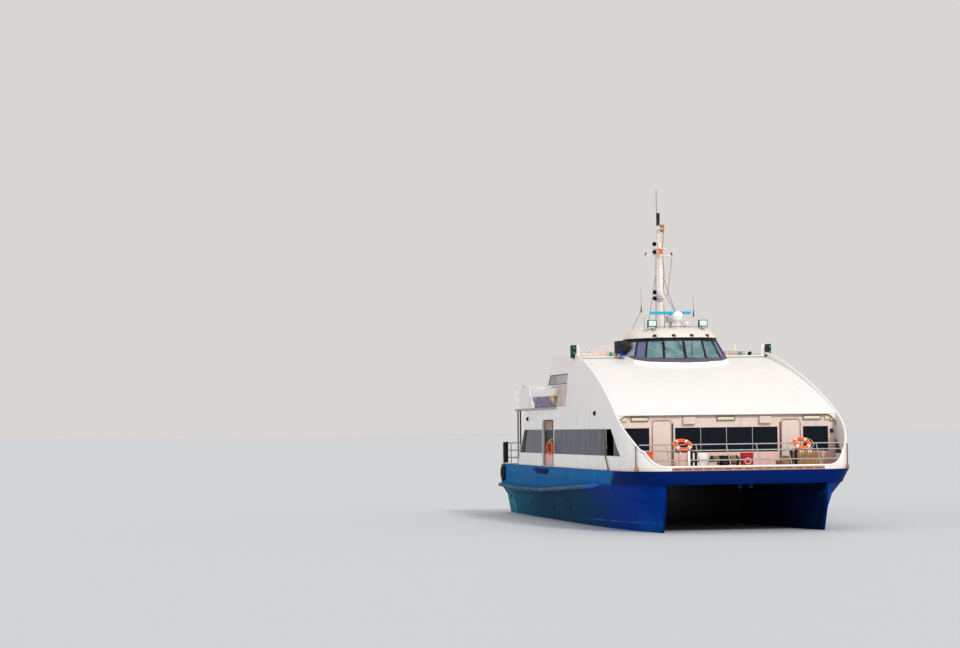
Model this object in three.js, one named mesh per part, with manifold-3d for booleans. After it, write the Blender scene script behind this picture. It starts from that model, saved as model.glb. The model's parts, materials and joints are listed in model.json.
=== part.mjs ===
// Passenger ferry with twin hulls, 27 m long and 9.2 m wide, as she lies afloat.
// Millimetres. +X is forward, +Y is port, +Z is up. The origin is amidships on the waterline.
import * as THREE from 'three';
import { mergeVertices } from 'three/addons/utils/BufferGeometryUtils.js';
import Module from 'manifold-3d';

const wasm = await Module();
wasm.setup();

// Driving sizes of the ship
const STEM = 13350;          // top of each hull's stem
const DECK_FRONT = 13700;    // front edge of the main deck
const STERN = -13650;        // transom
const HALF_BEAM = 4620;      // deck edge and knuckle of the side
const HULL_CENTRE = 3200;    // middle plane of each hull
const WET_DECK = 1840;       // roof of the tunnel between the hulls
const MAIN_DECK = 2370;
const UPPER_DECK = 4980;
const WALL_TOP = 4900;       // underside of the upper deck
const ROOF_DECK = 7100;
const PLATE = 60;            // decks and bulkheads
const WALL = 70;             // thickness of the side walls
const GLASS = 12;
const GAP = 0.5;             // play between pieces that touch
const SIDES = [
  { side: 'port', sign: 1 },
  { side: 'starboard', sign: -1 },
];

// Paints
const paint = (color, roughness = 0.5, metalness = 0) =>
  new THREE.MeshStandardMaterial({ color, roughness, metalness });
const HULL_BLUE = paint(0x0b3f9e, 0.35);
const RAIL_GREY = paint(0x46545c, 0.85);
const WHITE = paint(0xeae8e4, 0.4);
const SHADED_WHITE = paint(0xd9cfc9, 0.5);
const DECK_GREY = paint(0xb9aca2, 0.8);
const TINTED_GLASS = paint(0x4a4a52, 0.15);
const BLACK_GLASS = paint(0x10171d, 0.1);
const PALE_GLASS = paint(0x7fb3ba, 0.1);
const RUBBER = paint(0x1b1b1c, 0.9);
const BARE_METAL = paint(0xd8d8d6, 0.35, 0.8);
const BRONZE = paint(0xa9803e, 0.35, 0.9);
const ORANGE = paint(0xe8521e, 0.55);
const RED = paint(0xcf1f2a, 0.45);
const SKY_BLUE = paint(0x4fb4d8, 0.4);
const CRATE_BROWN = paint(0x9c8569, 0.8);

const ferry = new THREE.Group();

// Turns a closed geometry into a solid that can be joined and cut.
function solid(geometry) {
  geometry.deleteAttribute('normal');
  geometry.deleteAttribute('uv');
  const merged = mergeVertices(geometry);
  const mesh = new wasm.Mesh({
    numProp: 3,
    vertProperties: Float32Array.from(merged.attributes.position.array),
    triVerts: Uint32Array.from(merged.index.array),
  });
  return new wasm.Manifold(mesh);
}

// Adds a solid to the ferry as a named mesh.
function addPart(name, shape, material, parent = ferry) {
  const { vertProperties, triVerts } = shape.getMesh();
  const geometry = new THREE.BufferGeometry();
  geometry.setAttribute('position', new THREE.BufferAttribute(Float32Array.from(vertProperties), 3));
  geometry.setIndex(new THREE.BufferAttribute(Uint32Array.from(triVerts), 1));
  geometry.computeVertexNormals();
  const mesh = new THREE.Mesh(geometry, material);
  mesh.name = name;
  parent.add(mesh);
  return mesh;
}

// A block between two opposite corners.
function block(x0, x1, y0, y1, z0, z1) {
  const geometry = new THREE.BoxGeometry(x1 - x0, y1 - y0, z1 - z0);
  geometry.translate((x0 + x1) / 2, (y0 + y1) / 2, (z0 + z1) / 2);
  return solid(geometry);
}

// A round bar from one point to another.
function bar(from, to, radius, sides = 8) {
  const start = new THREE.Vector3(...from);
  const end = new THREE.Vector3(...to);
  const along = end.clone().sub(start);
  const geometry = new THREE.CylinderGeometry(radius, radius, along.length(), sides);
  const turn = new THREE.Quaternion().setFromUnitVectors(new THREE.Vector3(0, 1, 0), along.normalize());
  geometry.applyQuaternion(turn);
  geometry.translate(...start.add(end).divideScalar(2).toArray());
  return solid(geometry);
}

// A run of round bars through a list of points.
function barRun(points, radius, sides = 8) {
  const pieces = points.slice(1).map((point, i) => bar(points[i], point, radius, sides));
  return join(...pieces);
}

function ball(x, y, z, radius, across = 10, down = 6) {
  const geometry = new THREE.SphereGeometry(radius, across, down);
  geometry.rotateX(Math.PI / 2);
  geometry.translate(x, y, z);
  return solid(geometry);
}

function join(first, ...others) {
  return others.reduce((whole, piece) => whole.add(piece), first);
}

function cut(first, ...others) {
  return others.reduce((whole, piece) => whole.subtract(piece), first);
}

// Keeps what stands above a level.
function above(shape, z) {
  return shape.subtract(block(STERN - 1000, DECK_FRONT + 1000, -6000, 6000, -3000, z));
}

const toVectors = (points) => points.map(([a, b]) => new THREE.Vector2(a, b));

// A flat outline made thick: 'x' and 'y' outlines stand up, 'z' outlines lie flat.
function plate(outline, axis, from, to) {
  const geometry = new THREE.ExtrudeGeometry(new THREE.Shape(toVectors(outline)), {
    depth: to - from,
    bevelEnabled: false,
  });
  const basis = new THREE.Matrix4();
  const [X, Y, Z] = [0, 1, 2].map((i) => new THREE.Vector3().setComponent(i, 1));
  if (axis === 'x') {
    basis.makeBasis(Y, Z, X).setPosition(from, 0, 0);
  } else if (axis === 'y') {
    basis.makeBasis(X, Z, Y.negate()).setPosition(0, to, 0);
  } else {
    basis.makeBasis(X, Y, Z).setPosition(0, 0, from);
  }
  geometry.applyMatrix4(basis);
  return solid(geometry);
}

// Skins a row of outlines, each a closed loop of [x, y, z] with the same number of points.
function loft(sections, flatAxes) {
  const count = sections[0].length;
  const [a, b] = flatAxes;
  const positions = sections.flat(2);
  const triangles = [];
  for (let i = 0; i < sections.length - 1; i++) {
    for (let j = 0; j < count; j++) {
      const here = i * count + j;
      const next = i * count + ((j + 1) % count);
      triangles.push([here, next, next + count], [here, next + count, here + count]);
    }
  }
  const last = (sections.length - 1) * count;
  for (const [base, order] of [[0, -1], [last, 1]]) {
    const section = sections[base / count];
    const contour = section.map((point) => new THREE.Vector2(point[a], point[b]));
    const sense = THREE.ShapeUtils.isClockWise(contour) ? -1 : 1;
    for (const [p, q, r] of THREE.ShapeUtils.triangulateShape(contour, [])) {
      const area = THREE.ShapeUtils.area([contour[p], contour[q], contour[r]]);
      const kept = Math.sign(area) * sense * order > 0;
      triangles.push(kept ? [base + p, base + q, base + r] : [base + p, base + r, base + q]);
    }
  }
  const vertex = (i) => new THREE.Vector3().fromArray(positions, 3 * i);
  const volume = triangles.reduce((sum, [p, q, r]) =>
    sum + vertex(p).dot(vertex(q).cross(vertex(r))), 0);
  const facing = volume < 0 ? triangles.map(([p, q, r]) => [p, r, q]) : triangles;
  const geometry = new THREE.BufferGeometry();
  geometry.setAttribute('position', new THREE.Float32BufferAttribute(positions, 3));
  geometry.setIndex(facing.flat());
  return solid(geometry);
}

const lerp = THREE.MathUtils.lerp;
const YZ = [1, 2];
const XY = [0, 1];
const radians = THREE.MathUtils.degToRad;

// Hulls
const KEEL = -1300;
const CHINE = -550;
// Stem line: height, how far forward the stem reaches there
const STEM_LINE = [[KEEL, 11300], [CHINE, 12300], [0, 12850], [900, 13250], [WET_DECK, STEM]];

function stemAt(z) {
  const i = Math.max(1, STEM_LINE.findIndex(([height]) => height >= z));
  const [[z0, x0], [z1, x1]] = [STEM_LINE[i - 1], STEM_LINE[i]];
  return lerp(x0, x1, (z - z0) / (z1 - z0));
}

// Sections: distance aft of the stem; at, the heights of keel, chine and knuckle; out, the half breadths
// of chine, waterline, side at 900, lower flare, knuckle and top; inn, those of side, haunch foot and
// haunch top on the tunnel side
const HULL_SECTIONS = [
  { aft: 0, at: [KEEL, CHINE, 1780], out: [30, 30, 32, 40, 60, 80], inn: [32, 40, 60] },
  { aft: 1200, at: [KEEL, CHINE, 1780], out: [150, 240, 360, 580, 900, 960], inn: [330, 360, 450] },
  { aft: 2800, at: [KEEL, CHINE, 1780], out: [380, 500, 690, 1000, 1330, 1360], inn: [600, 640, 900] },
  { aft: 5000, at: [KEEL, CHINE, 1750], out: [600, 730, 940, 1180, 1420, 1420], inn: [850, 880, 1250] },
  { aft: 9000, at: [KEEL, CHINE, 1565], out: [790, 900, 1080, 1260, 1420, 1420], inn: [960, 980, 1450] },
  { aft: 15000, at: [KEEL, CHINE, 1360], out: [860, 970, 1130, 1280, 1420, 1420], inn: [990, 1010, 1550] },
  { aft: 21000, at: [-950, -480, 1270], out: [860, 980, 1140, 1290, 1420, 1420], inn: [990, 1010, 1550] },
  { aft: 27000, at: [-450, -330, 1340], out: [840, 960, 1120, 1280, 1420, 1420], inn: [980, 1000, 1550] },
];
const KEEL_HALF = 70;
const SIDE_HEIGHT = 900;
const HAUNCH_FOOT = 1250;
const HAUNCH_STEPS = 4;
const HULL_LENGTH = STEM - STERN;

function hullSection({ aft, at, out, inn }, sign) {
  const [keel, chine, knuckle] = at;
  const flare = lerp(SIDE_HEIGHT, knuckle, 0.55);
  const keelHalf = Math.min(KEEL_HALF, out[0]);
  const outer = [[keelHalf, keel], [out[0], chine], [out[1], 0], [out[2], SIDE_HEIGHT],
    [out[3], flare], [out[4], knuckle], [out[5], WET_DECK]];
  const haunch = [];
  for (let i = HAUNCH_STEPS; i >= 0; i--) {
    const angle = (i / HAUNCH_STEPS) * Math.PI / 2;
    haunch.push([
      lerp(inn[1], inn[2], 1 - Math.cos(angle)),
      lerp(HAUNCH_FOOT, WET_DECK, Math.sin(angle)),
    ]);
  }
  const inner = [...haunch, [inn[0], SIDE_HEIGHT], [out[1], 0], [out[0], chine], [keelHalf, keel]];
  const place = (offset, z) => {
    const x = lerp(stemAt(z), STERN, aft / HULL_LENGTH);
    return [x, sign * (HULL_CENTRE + offset), z];
  };
  return [...outer.map(([y, z]) => place(y, z)), ...inner.map(([y, z]) => place(-y, z))];
}

const hulls = {};
for (const { side, sign } of SIDES) {
  hulls[side] = loft(HULL_SECTIONS.map((section) => hullSection(section, sign)), YZ);
  addPart(`hull_${side}`, hulls[side], HULL_BLUE);
}

// Plan of the deck and walls: straight sides and a front with elliptical corners
const BOW_CORNER = { length: 2700, width: 1500 };
const FLARE_CORNER = { length: 4250, width: 1600 };  // foot of the deck's band, which flares at the bow
const CORNER_STEPS = 8;

function plan(halfBeam, front, back, z, inset = 0, corner = BOW_CORNER) {
  const half = [[back, halfBeam - inset]];
  for (let i = 0; i <= CORNER_STEPS; i++) {
    const angle = (i / CORNER_STEPS) * Math.PI / 2;
    half.push([
      front - corner.length + (corner.length - inset) * Math.sin(angle),
      halfBeam - corner.width + (corner.width - inset) * Math.cos(angle),
    ]);
  }
  const port = half.map(([x, y]) => [x, y, z]);
  const starboard = half.map(([x, y]) => [x, -y, z]).reverse();
  return [...port, ...starboard];
}

// Main deck, with the blue band of its edge
const deck = loft([
  plan(HALF_BEAM, DECK_FRONT - 160, STERN, WET_DECK + GAP, 0, FLARE_CORNER),
  plan(HALF_BEAM, DECK_FRONT, STERN, MAIN_DECK),
], XY);
addPart('main_deck', deck, HULL_BLUE);

// Rub rails along the knuckle, in two lengths a side that butt where they turn up
const RAIL_SECTION = [[0, -95], [120, -80], [175, -30], [175, 40], [120, 85], [0, 95]];
const RAIL_BUTT = -3500;
// Station, height, share of the full section
const RAIL_RUNS = {
  aft: [[STERN + 60, 1350, 1], [-9400, 1275, 1], [RAIL_BUTT, 1320, 1]],
  forward: [
    [RAIL_BUTT + GAP, 1320, 1], [1900, 1490, 1], [6800, 1690, 1], [7600, 1745, 1],
    [8300, 1785, 0.35],
  ],
};
for (const { side, sign } of SIDES) {
  for (const [length, run] of Object.entries(RAIL_RUNS)) {
    const sections = run.map(([x, z, share]) =>
      RAIL_SECTION.map(([y, dz]) => [x, sign * (HALF_BEAM + GAP + y * share), z + dz * share]));
    addPart(`rub_rail_${length}_${side}`, loft(sections, YZ), RAIL_GREY);
  }
}

// Superstructure shell: height, half beam
const SHELL_LEVELS = [[MAIN_DECK + GAP, 4550], [4400, 4530], [5000, 4500], [7400, 4240]];
const SHELL_FRONT = 13640;
const SHELL_BACK = -10400;

function shell(inset) {
  const levels = SHELL_LEVELS.map(([z, halfBeam]) =>
    plan(halfBeam, SHELL_FRONT, SHELL_BACK, z, inset));
  return loft(levels, XY);
}
const outerShell = shell(0);
const innerShell = shell(WALL);
const insideShell = shell(WALL + GAP);

// Swept front edge of the side walls: a conic from the bow coaming to the roof
const SWEEP = { foot: [13400, 2520], pull: [11775, 5673], head: [1750, 7250], weight: 0.646, steps: 18 };

// Points of the sweep between two shares of it, sinking below it by up to a drop.
function sweepPoints(from, to, steps, drop = 0) {
  const { foot, pull, head, weight } = SWEEP;
  const points = [];
  for (let i = 0; i <= steps; i++) {
    const t = lerp(from, to, i / steps);
    const [p, q, r] = [(1 - t) ** 2, 2 * t * (1 - t) * weight, t * t];
    const mix = (k) => (p * foot[k] + q * pull[k] + r * head[k]) / (p + q + r);
    points.push([mix(0), mix(1) - drop * (i / steps)]);
  }
  return points;
}

// Boarding doorway and windows in each side wall, as upright outlines of [x, z]
const DOORWAY = { back: -3650, front: -1350, top: 4430, sill: 30 };
const BAND_LOW = 2940;
const BAND_HIGH = 4000;
const SIDE_CUTS = {
  side_window_aft: [[-8250, BAND_LOW], [-3850, BAND_LOW], [-3850, BAND_HIGH], [-7500, BAND_HIGH]],
  side_window_forward: [[-1250, BAND_LOW], [8800, BAND_LOW], [8800, BAND_HIGH], [-1250, BAND_HIGH]],
  upper_window: [[-3000, 5960], [1050, 5960], [1050, 6400], [-2750, 6400]],
};
const LOOKOUT = [[8900, BAND_LOW], [11420, BAND_LOW], [9900, BAND_HIGH], [8900, BAND_HIGH]];
const RAFT_BAY = { back: -2500, front: -750, top: 5930, depth: 3600 };
const WALL_PROFILE = [
  [-9650, MAIN_DECK], [-7650, WALL_TOP], [RAFT_BAY.front, WALL_TOP], [RAFT_BAY.front, RAFT_BAY.top],
  [-3650, RAFT_BAY.top], [-2450, 7240],
  ...sweepPoints(1, 0, SWEEP.steps),
  [DECK_FRONT, 2520], [DECK_FRONT, MAIN_DECK],
];
const FULL_WIDTH = HALF_BEAM + 200;
const COAMING_HALF = 3000;

// Shrinks an upright outline towards its middle, to leave play around a pane.
function shrink(outline, play) {
  const middle = [0, 1].map((k) => outline.reduce((sum, point) => sum + point[k], 0) / outline.length);
  return outline.map((point) => point.map((value, k) => value - Math.sign(value - middle[k]) * play));
}

const wallRing = cut(outerShell, innerShell)
  .intersect(plate(WALL_PROFILE, 'y', -FULL_WIDTH, FULL_WIDTH));
const glassRing = cut(shell(22), shell(22 + GLASS));

for (const { side, sign } of SIDES) {
  const span = [HALF_BEAM - 1600, FULL_WIDTH].map((y) => sign * y).sort((p, q) => p - q);
  const slice = [3020, FULL_WIDTH].map((y) => sign * y).sort((p, q) => p - q);
  const sideOnly = plate([[SHELL_BACK, 0], [DECK_FRONT, 0], [DECK_FRONT, 8000], [SHELL_BACK, 8000]],
    'y', ...slice);
  const openings = [...Object.values(SIDE_CUTS), LOOKOUT].map((outline) => plate(outline, 'y', ...span));
  const foot = MAIN_DECK + DOORWAY.sill;
  const gangway = plate([[DOORWAY.back, foot], [DOORWAY.front, foot],
    [DOORWAY.front, DOORWAY.top], [DOORWAY.back, DOORWAY.top]], 'y', ...span);
  addPart(`side_wall_${side}`, cut(wallRing.intersect(sideOnly), ...openings, gangway), WHITE);
  for (const [name, outline] of Object.entries(SIDE_CUTS)) {
    const pane = glassRing.intersect(plate(shrink(outline, GAP), 'y', ...span));
    addPart(`${name}_${side}`, pane, TINTED_GLASS);
  }
}
const coamingSlice = block(DECK_FRONT - 800, DECK_FRONT, -3020 + GAP, 3020 - GAP, MAIN_DECK, 2600);
addPart('bow_coaming', wallRing.intersect(coamingSlice), WHITE);

// Sliding boarding doors, just inside the doorways
const SLIDER = { thickness: 45, clearance: 12, overlap: 60 };
for (const { side, sign } of SIDES) {
  const outer = SHELL_LEVELS[1][1] - WALL - SLIDER.clearance;
  const [y0, y1] = [sign * outer, sign * (outer - SLIDER.thickness)].sort((p, q) => p - q);
  const leaf = block(DOORWAY.back - SLIDER.overlap, DOORWAY.front + SLIDER.overlap,
    y0, y1, MAIN_DECK + 8, DOORWAY.top + SLIDER.overlap);
  addPart(`boarding_door_${side}`, leaf, SHADED_WHITE);
}

// Front bulkhead with its windows and two doors. Openings: name, half or whole span in y, foot, head
const FRONT_FACE = 10550;
const FRONT_TOP = 4860;
const WINDOW_LOW = 3040;
const WINDOW_HIGH = 4020;
const FRONT_DOOR = { inner: 2210, outer: 3050, low: MAIN_DECK + 40, high: 4330, play: 8, leaf: 45 };
const OUTER_WINDOW = [3130, 4170];
const CENTRE_WINDOW = 2090;
const upright = (y0, y1, z0, z1) => [[y0, z0], [y1, z0], [y1, z1], [y0, z1]];
let frontWall = block(FRONT_FACE - PLATE, FRONT_FACE, -HALF_BEAM, HALF_BEAM, MAIN_DECK + GAP, FRONT_TOP)
  .intersect(insideShell);
const throughFront = (outline) => plate(outline, 'x', FRONT_FACE - 200, FRONT_FACE + 100);
const frontPane = (outline) => plate(shrink(outline, GAP), 'x', FRONT_FACE - 40, FRONT_FACE - 40 + GLASS);
const centreWindow = upright(-CENTRE_WINDOW, CENTRE_WINDOW, WINDOW_LOW, WINDOW_HIGH);
frontWall = frontWall.subtract(throughFront(centreWindow));
addPart('front_window_centre', frontPane(centreWindow), BLACK_GLASS);
for (const { side, sign } of SIDES) {
  const [w0, w1] = OUTER_WINDOW.map((y) => sign * y).sort((p, q) => p - q);
  const outerWindow = upright(w0, w1, WINDOW_LOW, WINDOW_HIGH);
  const [d0, d1] = [FRONT_DOOR.inner, FRONT_DOOR.outer].map((y) => sign * y).sort((p, q) => p - q);
  frontWall = cut(frontWall, throughFront(outerWindow),
    throughFront(upright(d0, d1, FRONT_DOOR.low, FRONT_DOOR.high)));
  addPart(`front_window_${side}`, frontPane(outerWindow), BLACK_GLASS);
  const leaf = block(FRONT_FACE - FRONT_DOOR.leaf, FRONT_FACE, d0 + FRONT_DOOR.play, d1 - FRONT_DOOR.play,
    FRONT_DOOR.low + FRONT_DOOR.play, FRONT_DOOR.high - FRONT_DOOR.play);
  addPart(`front_door_${side}`, leaf, SHADED_WHITE);
}

// Canopy: the long curved roof plate from the lip over the foredeck to the wheelhouse
const CANOPY = { start: 0.39, end: 0.985, steps: 14, drop: 200, rake: PLATE * 0.35 };
const canopyTop = sweepPoints(CANOPY.start, CANOPY.end, CANOPY.steps, CANOPY.drop);
const canopyUnder = canopyTop.map(([x, z]) => [x - CANOPY.rake, z - PLATE]).reverse();
const canopyBack = canopyTop[CANOPY.steps][0];
const WELL = { back: 1300, front: 3700, half: 1750, floor: 6150, skin: 40 };
const wellHole = block(WELL.back, WELL.front, -WELL.half, WELL.half, WELL.floor, 8000);
const canopy = plate([...canopyTop, ...canopyUnder], 'y', -HALF_BEAM, HALF_BEAM)
  .intersect(insideShell).subtract(wellHole);
addPart('canopy', canopy, WHITE);
const overCanopy = plate([...canopyTop.map(([x, z]) => [x + 600, z + 3000]).reverse(),
  ...canopyTop.map(([x, z]) => [x - CANOPY.rake - GAP, z - PLATE - GAP])], 'y', -HALF_BEAM, HALF_BEAM);
addPart('front_wall', frontWall.subtract(overCanopy), SHADED_WHITE);

// Upper deck, inside the walls forward and over their top aft
const UPPER_DECK_BACK = -10250;
const UPPER_DECK_FRONT = 9600;
const DECK_REACH = 4560;
const [slabFoot, slabTop] = [WALL_TOP + GAP, UPPER_DECK];
const upperSlab = block(UPPER_DECK_BACK, UPPER_DECK_FRONT, -DECK_REACH, DECK_REACH, slabFoot, slabTop);
const aftSlab = block(UPPER_DECK_BACK, RAFT_BAY.front - GAP, -DECK_REACH, DECK_REACH, slabFoot, slabTop);
addPart('upper_deck', join(upperSlab.intersect(insideShell), aftSlab).subtract(overCanopy), DECK_GREY);

// Roof deck behind the canopy
const ROOF_BACK = -2450;
const roofSlab = block(ROOF_BACK, canopyBack - CANOPY.rake - GAP, -HALF_BEAM, HALF_BEAM,
  ROOF_DECK - PLATE, ROOF_DECK).intersect(insideShell);
addPart('roof_deck', roofSlab.subtract(wellHole), WHITE);

// Raft bays: back, top and forward end of the niche under each upper window
for (const { side, sign } of SIDES) {
  const reach = 4600;
  const { back, front, top, depth } = RAFT_BAY;
  const [y0, y1] = [sign * depth, sign * reach].sort((p, q) => p - q);
  const [i0, i1] = [sign * (depth + 40), sign * reach].sort((p, q) => p - q);
  const whole = block(back + GAP, front - GAP, y0, y1, UPPER_DECK + GAP, top - GAP);
  const hollow = block(back - 100, front - 40, i0, i1, UPPER_DECK - 10, top - 50);
  addPart(`raft_bay_${side}`, whole.subtract(hollow).intersect(insideShell), SHADED_WHITE);
}

// Aft bulkheads of both decks, each with a hinged door
const LEAF = { width: 860, play: 8, thickness: 45 };
const MAIN_AFT = { face: -7600, doorMiddle: 900, head: 4330 };
const UPPER_AFT = { face: RAFT_BAY.back, doorMiddle: 900, head: 6960 };
function doorway(face, middle, foot, head) {
  return block(face - 200, face + 200, middle - LEAF.width / 2, middle + LEAF.width / 2, foot, head);
}
function doorLeaf(face, middle, foot, head) {
  const { width, play, thickness } = LEAF;
  const half = width / 2 - play;
  return block(face, face + thickness, middle - half, middle + half, foot + play, head - play);
}
const mainFoot = MAIN_DECK + 40;
const aftWall = block(MAIN_AFT.face, MAIN_AFT.face + PLATE, -HALF_BEAM, HALF_BEAM,
  MAIN_DECK + GAP, WALL_TOP - GAP);
addPart('aft_wall', cut(aftWall.intersect(insideShell),
  doorway(MAIN_AFT.face, MAIN_AFT.doorMiddle, mainFoot, MAIN_AFT.head)), SHADED_WHITE);
addPart('aft_door', doorLeaf(MAIN_AFT.face, MAIN_AFT.doorMiddle, mainFoot, MAIN_AFT.head), WHITE);
const upperFoot = UPPER_DECK + 40;
const bayEdge = RAFT_BAY.depth - GAP;
const upperAftOutline = [[-bayEdge, UPPER_DECK + GAP], [bayEdge, UPPER_DECK + GAP],
  [bayEdge, RAFT_BAY.top + GAP], [HALF_BEAM, RAFT_BAY.top + GAP], [HALF_BEAM, ROOF_DECK - PLATE - GAP],
  [-HALF_BEAM, ROOF_DECK - PLATE - GAP], [-HALF_BEAM, RAFT_BAY.top + GAP], [-bayEdge, RAFT_BAY.top + GAP]];
const upperAft = plate(upperAftOutline, 'x', UPPER_AFT.face + GAP, UPPER_AFT.face + PLATE)
  .intersect(insideShell);
addPart('upper_aft_wall', cut(upperAft,
  doorway(UPPER_AFT.face, UPPER_AFT.doorMiddle, upperFoot, UPPER_AFT.head)), SHADED_WHITE);
const upperLeaf = doorLeaf(UPPER_AFT.face + GAP, UPPER_AFT.doorMiddle, upperFoot, UPPER_AFT.head);
addPart('upper_door', upperLeaf, WHITE);

// Wheelhouse: corners of the half plan at its foot and its head, [x, y]
const HOUSE_FOOT = {
  z: 6450,
  corners: [[4725, 0], [4580, 960], [4370, 1780], [3950, 2186], [2700, 2360], [1250, 2380]],
};
const HOUSE_HEAD = {
  z: 7790,
  corners: [[3960, 0], [3900, 833], [3380, 1405], [2880, 1725], [1950, 1900], [1250, 1930]],
};
const FRAME = 30;

function fullPlan({ z, corners }, inset = 0) {
  const middle = [1600, 0];
  const half = corners.map(([x, y]) => [
    x - Math.sign(x - middle[0]) * inset, Math.max(0, y - (y > 0 ? inset : 0)), z]);
  const other = half.slice(1).map(([x, y]) => [x, -y, z]).reverse();
  return [...half, ...other];
}
const house = (inset) => loft([fullPlan(HOUSE_FOOT, inset), fullPlan(HOUSE_HEAD, inset)], XY);
const belowRoof = plate([...canopyTop.map(([x, z]) => [x, z + GAP]), [canopyBack, ROOF_DECK + GAP],
  [-2000, ROOF_DECK + GAP], [-2000, 6000], [canopyTop[0][0], 3000]], 'y', -HALF_BEAM, HALF_BEAM);

// Panes of one side: the wall corner each starts from, and its foot as a share of height
const PANES = [
  { from: 0, low: 0.36 }, { from: 1, low: 0.38 }, { from: 2, low: 0.4 }, { from: 3, low: 0.47 },
];
const PANE = { start: 0.06, end: 0.94, high: 0.92, reach: 150 };

function wallPoint(from, along, up, outward) {
  const corner = (index, level) => new THREE.Vector3(...level.corners[index], level.z);
  const foot = corner(from, HOUSE_FOOT).lerp(corner(from + 1, HOUSE_FOOT), along);
  const head = corner(from, HOUSE_HEAD).lerp(corner(from + 1, HOUSE_HEAD), along);
  const run = corner(from + 1, HOUSE_FOOT).sub(corner(from, HOUSE_FOOT));
  const normal = new THREE.Vector3(run.y, -run.x, 0).normalize().multiplyScalar(outward);
  return foot.lerp(head, up).add(normal).toArray();
}

function paneHole(corners, sign) {
  const layers = [-PANE.reach, PANE.reach].map((outward) =>
    corners.map(([from, along, up]) => {
      const [x, y, z] = wallPoint(from, along, up, outward);
      return [x, sign * y, z];
    }));
  return loft(layers, YZ);
}
const holes = [];
for (const { sign } of SIDES) {
  for (const { from, low } of PANES) {
    holes.push(paneHole([[from, PANE.start, low], [from, PANE.end, low], [from, PANE.end, PANE.high],
      [from, PANE.start, PANE.high]], sign));
  }
}
const sidePane = block(1400, 1830, -3000, 3000, 7300, 7680);
const aftPane = block(1100, 1400, -1500, 1500, 7300, 7680);
const wheelhouse = cut(house(0), house(FRAME), belowRoof, ...holes, sidePane, aftPane);
addPart('wheelhouse_walls', wheelhouse, WHITE);
const glazing = cut(house(FRAME + GAP), house(FRAME + GAP + GLASS), belowRoof)
  .intersect(block(1000, 5000, -3000, 3000, 6000, HOUSE_HEAD.z - GAP));
addPart('wheelhouse_windows', glazing, PALE_GLASS);

// Wheelhouse roof: a visor edge, a sloped fascia and a smaller flat top. Height, then half-plan corners
const HOUSE_TOP = 8225;
const ROOF_LEVELS = [
  {
    z: HOUSE_HEAD.z + GAP,
    corners: [[4010, 0], [3940, 845], [3410, 1430], [2870, 1755], [1960, 1935], [1190, 1965]],
  },
  {
    z: 7850,
    corners: [[4040, 0], [3970, 850], [3430, 1440], [2880, 1765], [1970, 1955], [1170, 1985]],
  },
  {
    z: HOUSE_TOP,
    corners: [[3400, 0], [3330, 760], [3060, 1180], [2820, 1430], [1950, 1600], [1220, 1640]],
  },
];
addPart('wheelhouse_roof', loft(ROOF_LEVELS.map((level) => fullPlan(level)), XY), WHITE);

// Wheelhouse floor: a tray hung in the well, with the console and chairs
const tray = cut(
  block(WELL.back + GAP, WELL.front - GAP, -WELL.half + GAP, WELL.half - GAP, WELL.floor, 7000),
  block(WELL.back + WELL.skin, WELL.front - WELL.skin, -WELL.half + WELL.skin, WELL.half - WELL.skin,
    WELL.floor + WELL.skin, 7100),
  belowRoof.translate([0, 0, 1500]).subtract(belowRoof.translate([0, 0, -120])),
);
addPart('wheelhouse_floor', tray, DECK_GREY);
const floorTop = WELL.floor + WELL.skin + GAP;
const helm = join(
  plate([[2900, floorTop], [3350, floorTop], [3500, 6600], [2950, 6920], [2800, 6880]], 'y', -1300, 1300),
  block(1650, 3050, -900, 900, floorTop, floorTop + 40),
  ...[-600, 600].flatMap((y) => [
    block(2000, 2100, y - 60, y + 60, floorTop, 6700),
    block(1800, 2300, y - 250, y + 250, 6650, 6780),
    block(1770, 1870, y - 230, y + 230, 6700, 7330),
  ]),
);
addPart('helm_console', helm, RUBBER);

// Mast: a tapered box column on the roof deck, with a ladder pole, a yard and lamp platforms
const MAST = {
  x: 0, foot: ROOF_DECK + GAP, wide: 175, narrow: 125, head: 13050, yard: 11550, platform: 11850, strut: 290,
};
const mastLevel = (z, half) => [[-half, -half], [half, -half], [half, half], [-half, half]]
  .map(([x, y]) => [MAST.x + x, y, z]);
const mast = join(
  loft([mastLevel(MAST.foot, MAST.wide), mastLevel(MAST.platform, MAST.narrow)], XY),
  bar([MAST.x, 0, MAST.platform - 150], [MAST.x, 0, MAST.head], 50, 10),
  bar([MAST.x - MAST.strut, 0, MAST.foot], [MAST.x - MAST.strut, 0, MAST.platform], 35, 8),
  ...[7500, 8100, 8700, 9150, 9600, 10050, 10500, 10950, 11400].map((z) =>
    bar([MAST.x - MAST.strut, 0, z], [MAST.x, 0, z], 16, 6)),
  block(MAST.x - 360, MAST.x + 260, -260, 260, MAST.foot, ROOF_DECK + 30),
  block(MAST.x - 60, MAST.x + 420, -170, 170, 9680, 9710),
  block(MAST.x - 240, MAST.x + 260, -240, 240, MAST.platform - 10, MAST.platform + 20),
  block(MAST.x - 40, MAST.x + 300, -150, 150, 12700, 12725),
  bar([MAST.x, -640, MAST.yard], [MAST.x, 640, MAST.yard], 28, 8),
  bar([MAST.x + 300, 0, 9700], [MAST.x + 300, 0, 9960], 80, 10),
  bar([MAST.x + 180, 0, MAST.platform + 10], [MAST.x + 180, 0, MAST.platform + 230], 75, 10),
  bar([MAST.x, 0, MAST.head - 20], [MAST.x, 0, 13420], 75, 10),
  bar([MAST.x, -620, MAST.yard], [MAST.x, -620, MAST.yard + 170], 45, 8),
  bar([MAST.x, 620, MAST.yard], [MAST.x, 620, MAST.yard + 170], 45, 8),
  bar([MAST.x - MAST.strut, 0, MAST.platform - 50], [MAST.x - MAST.strut, 0, 14450], 12, 6),
);
addPart('mast', mast, BARE_METAL);

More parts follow.
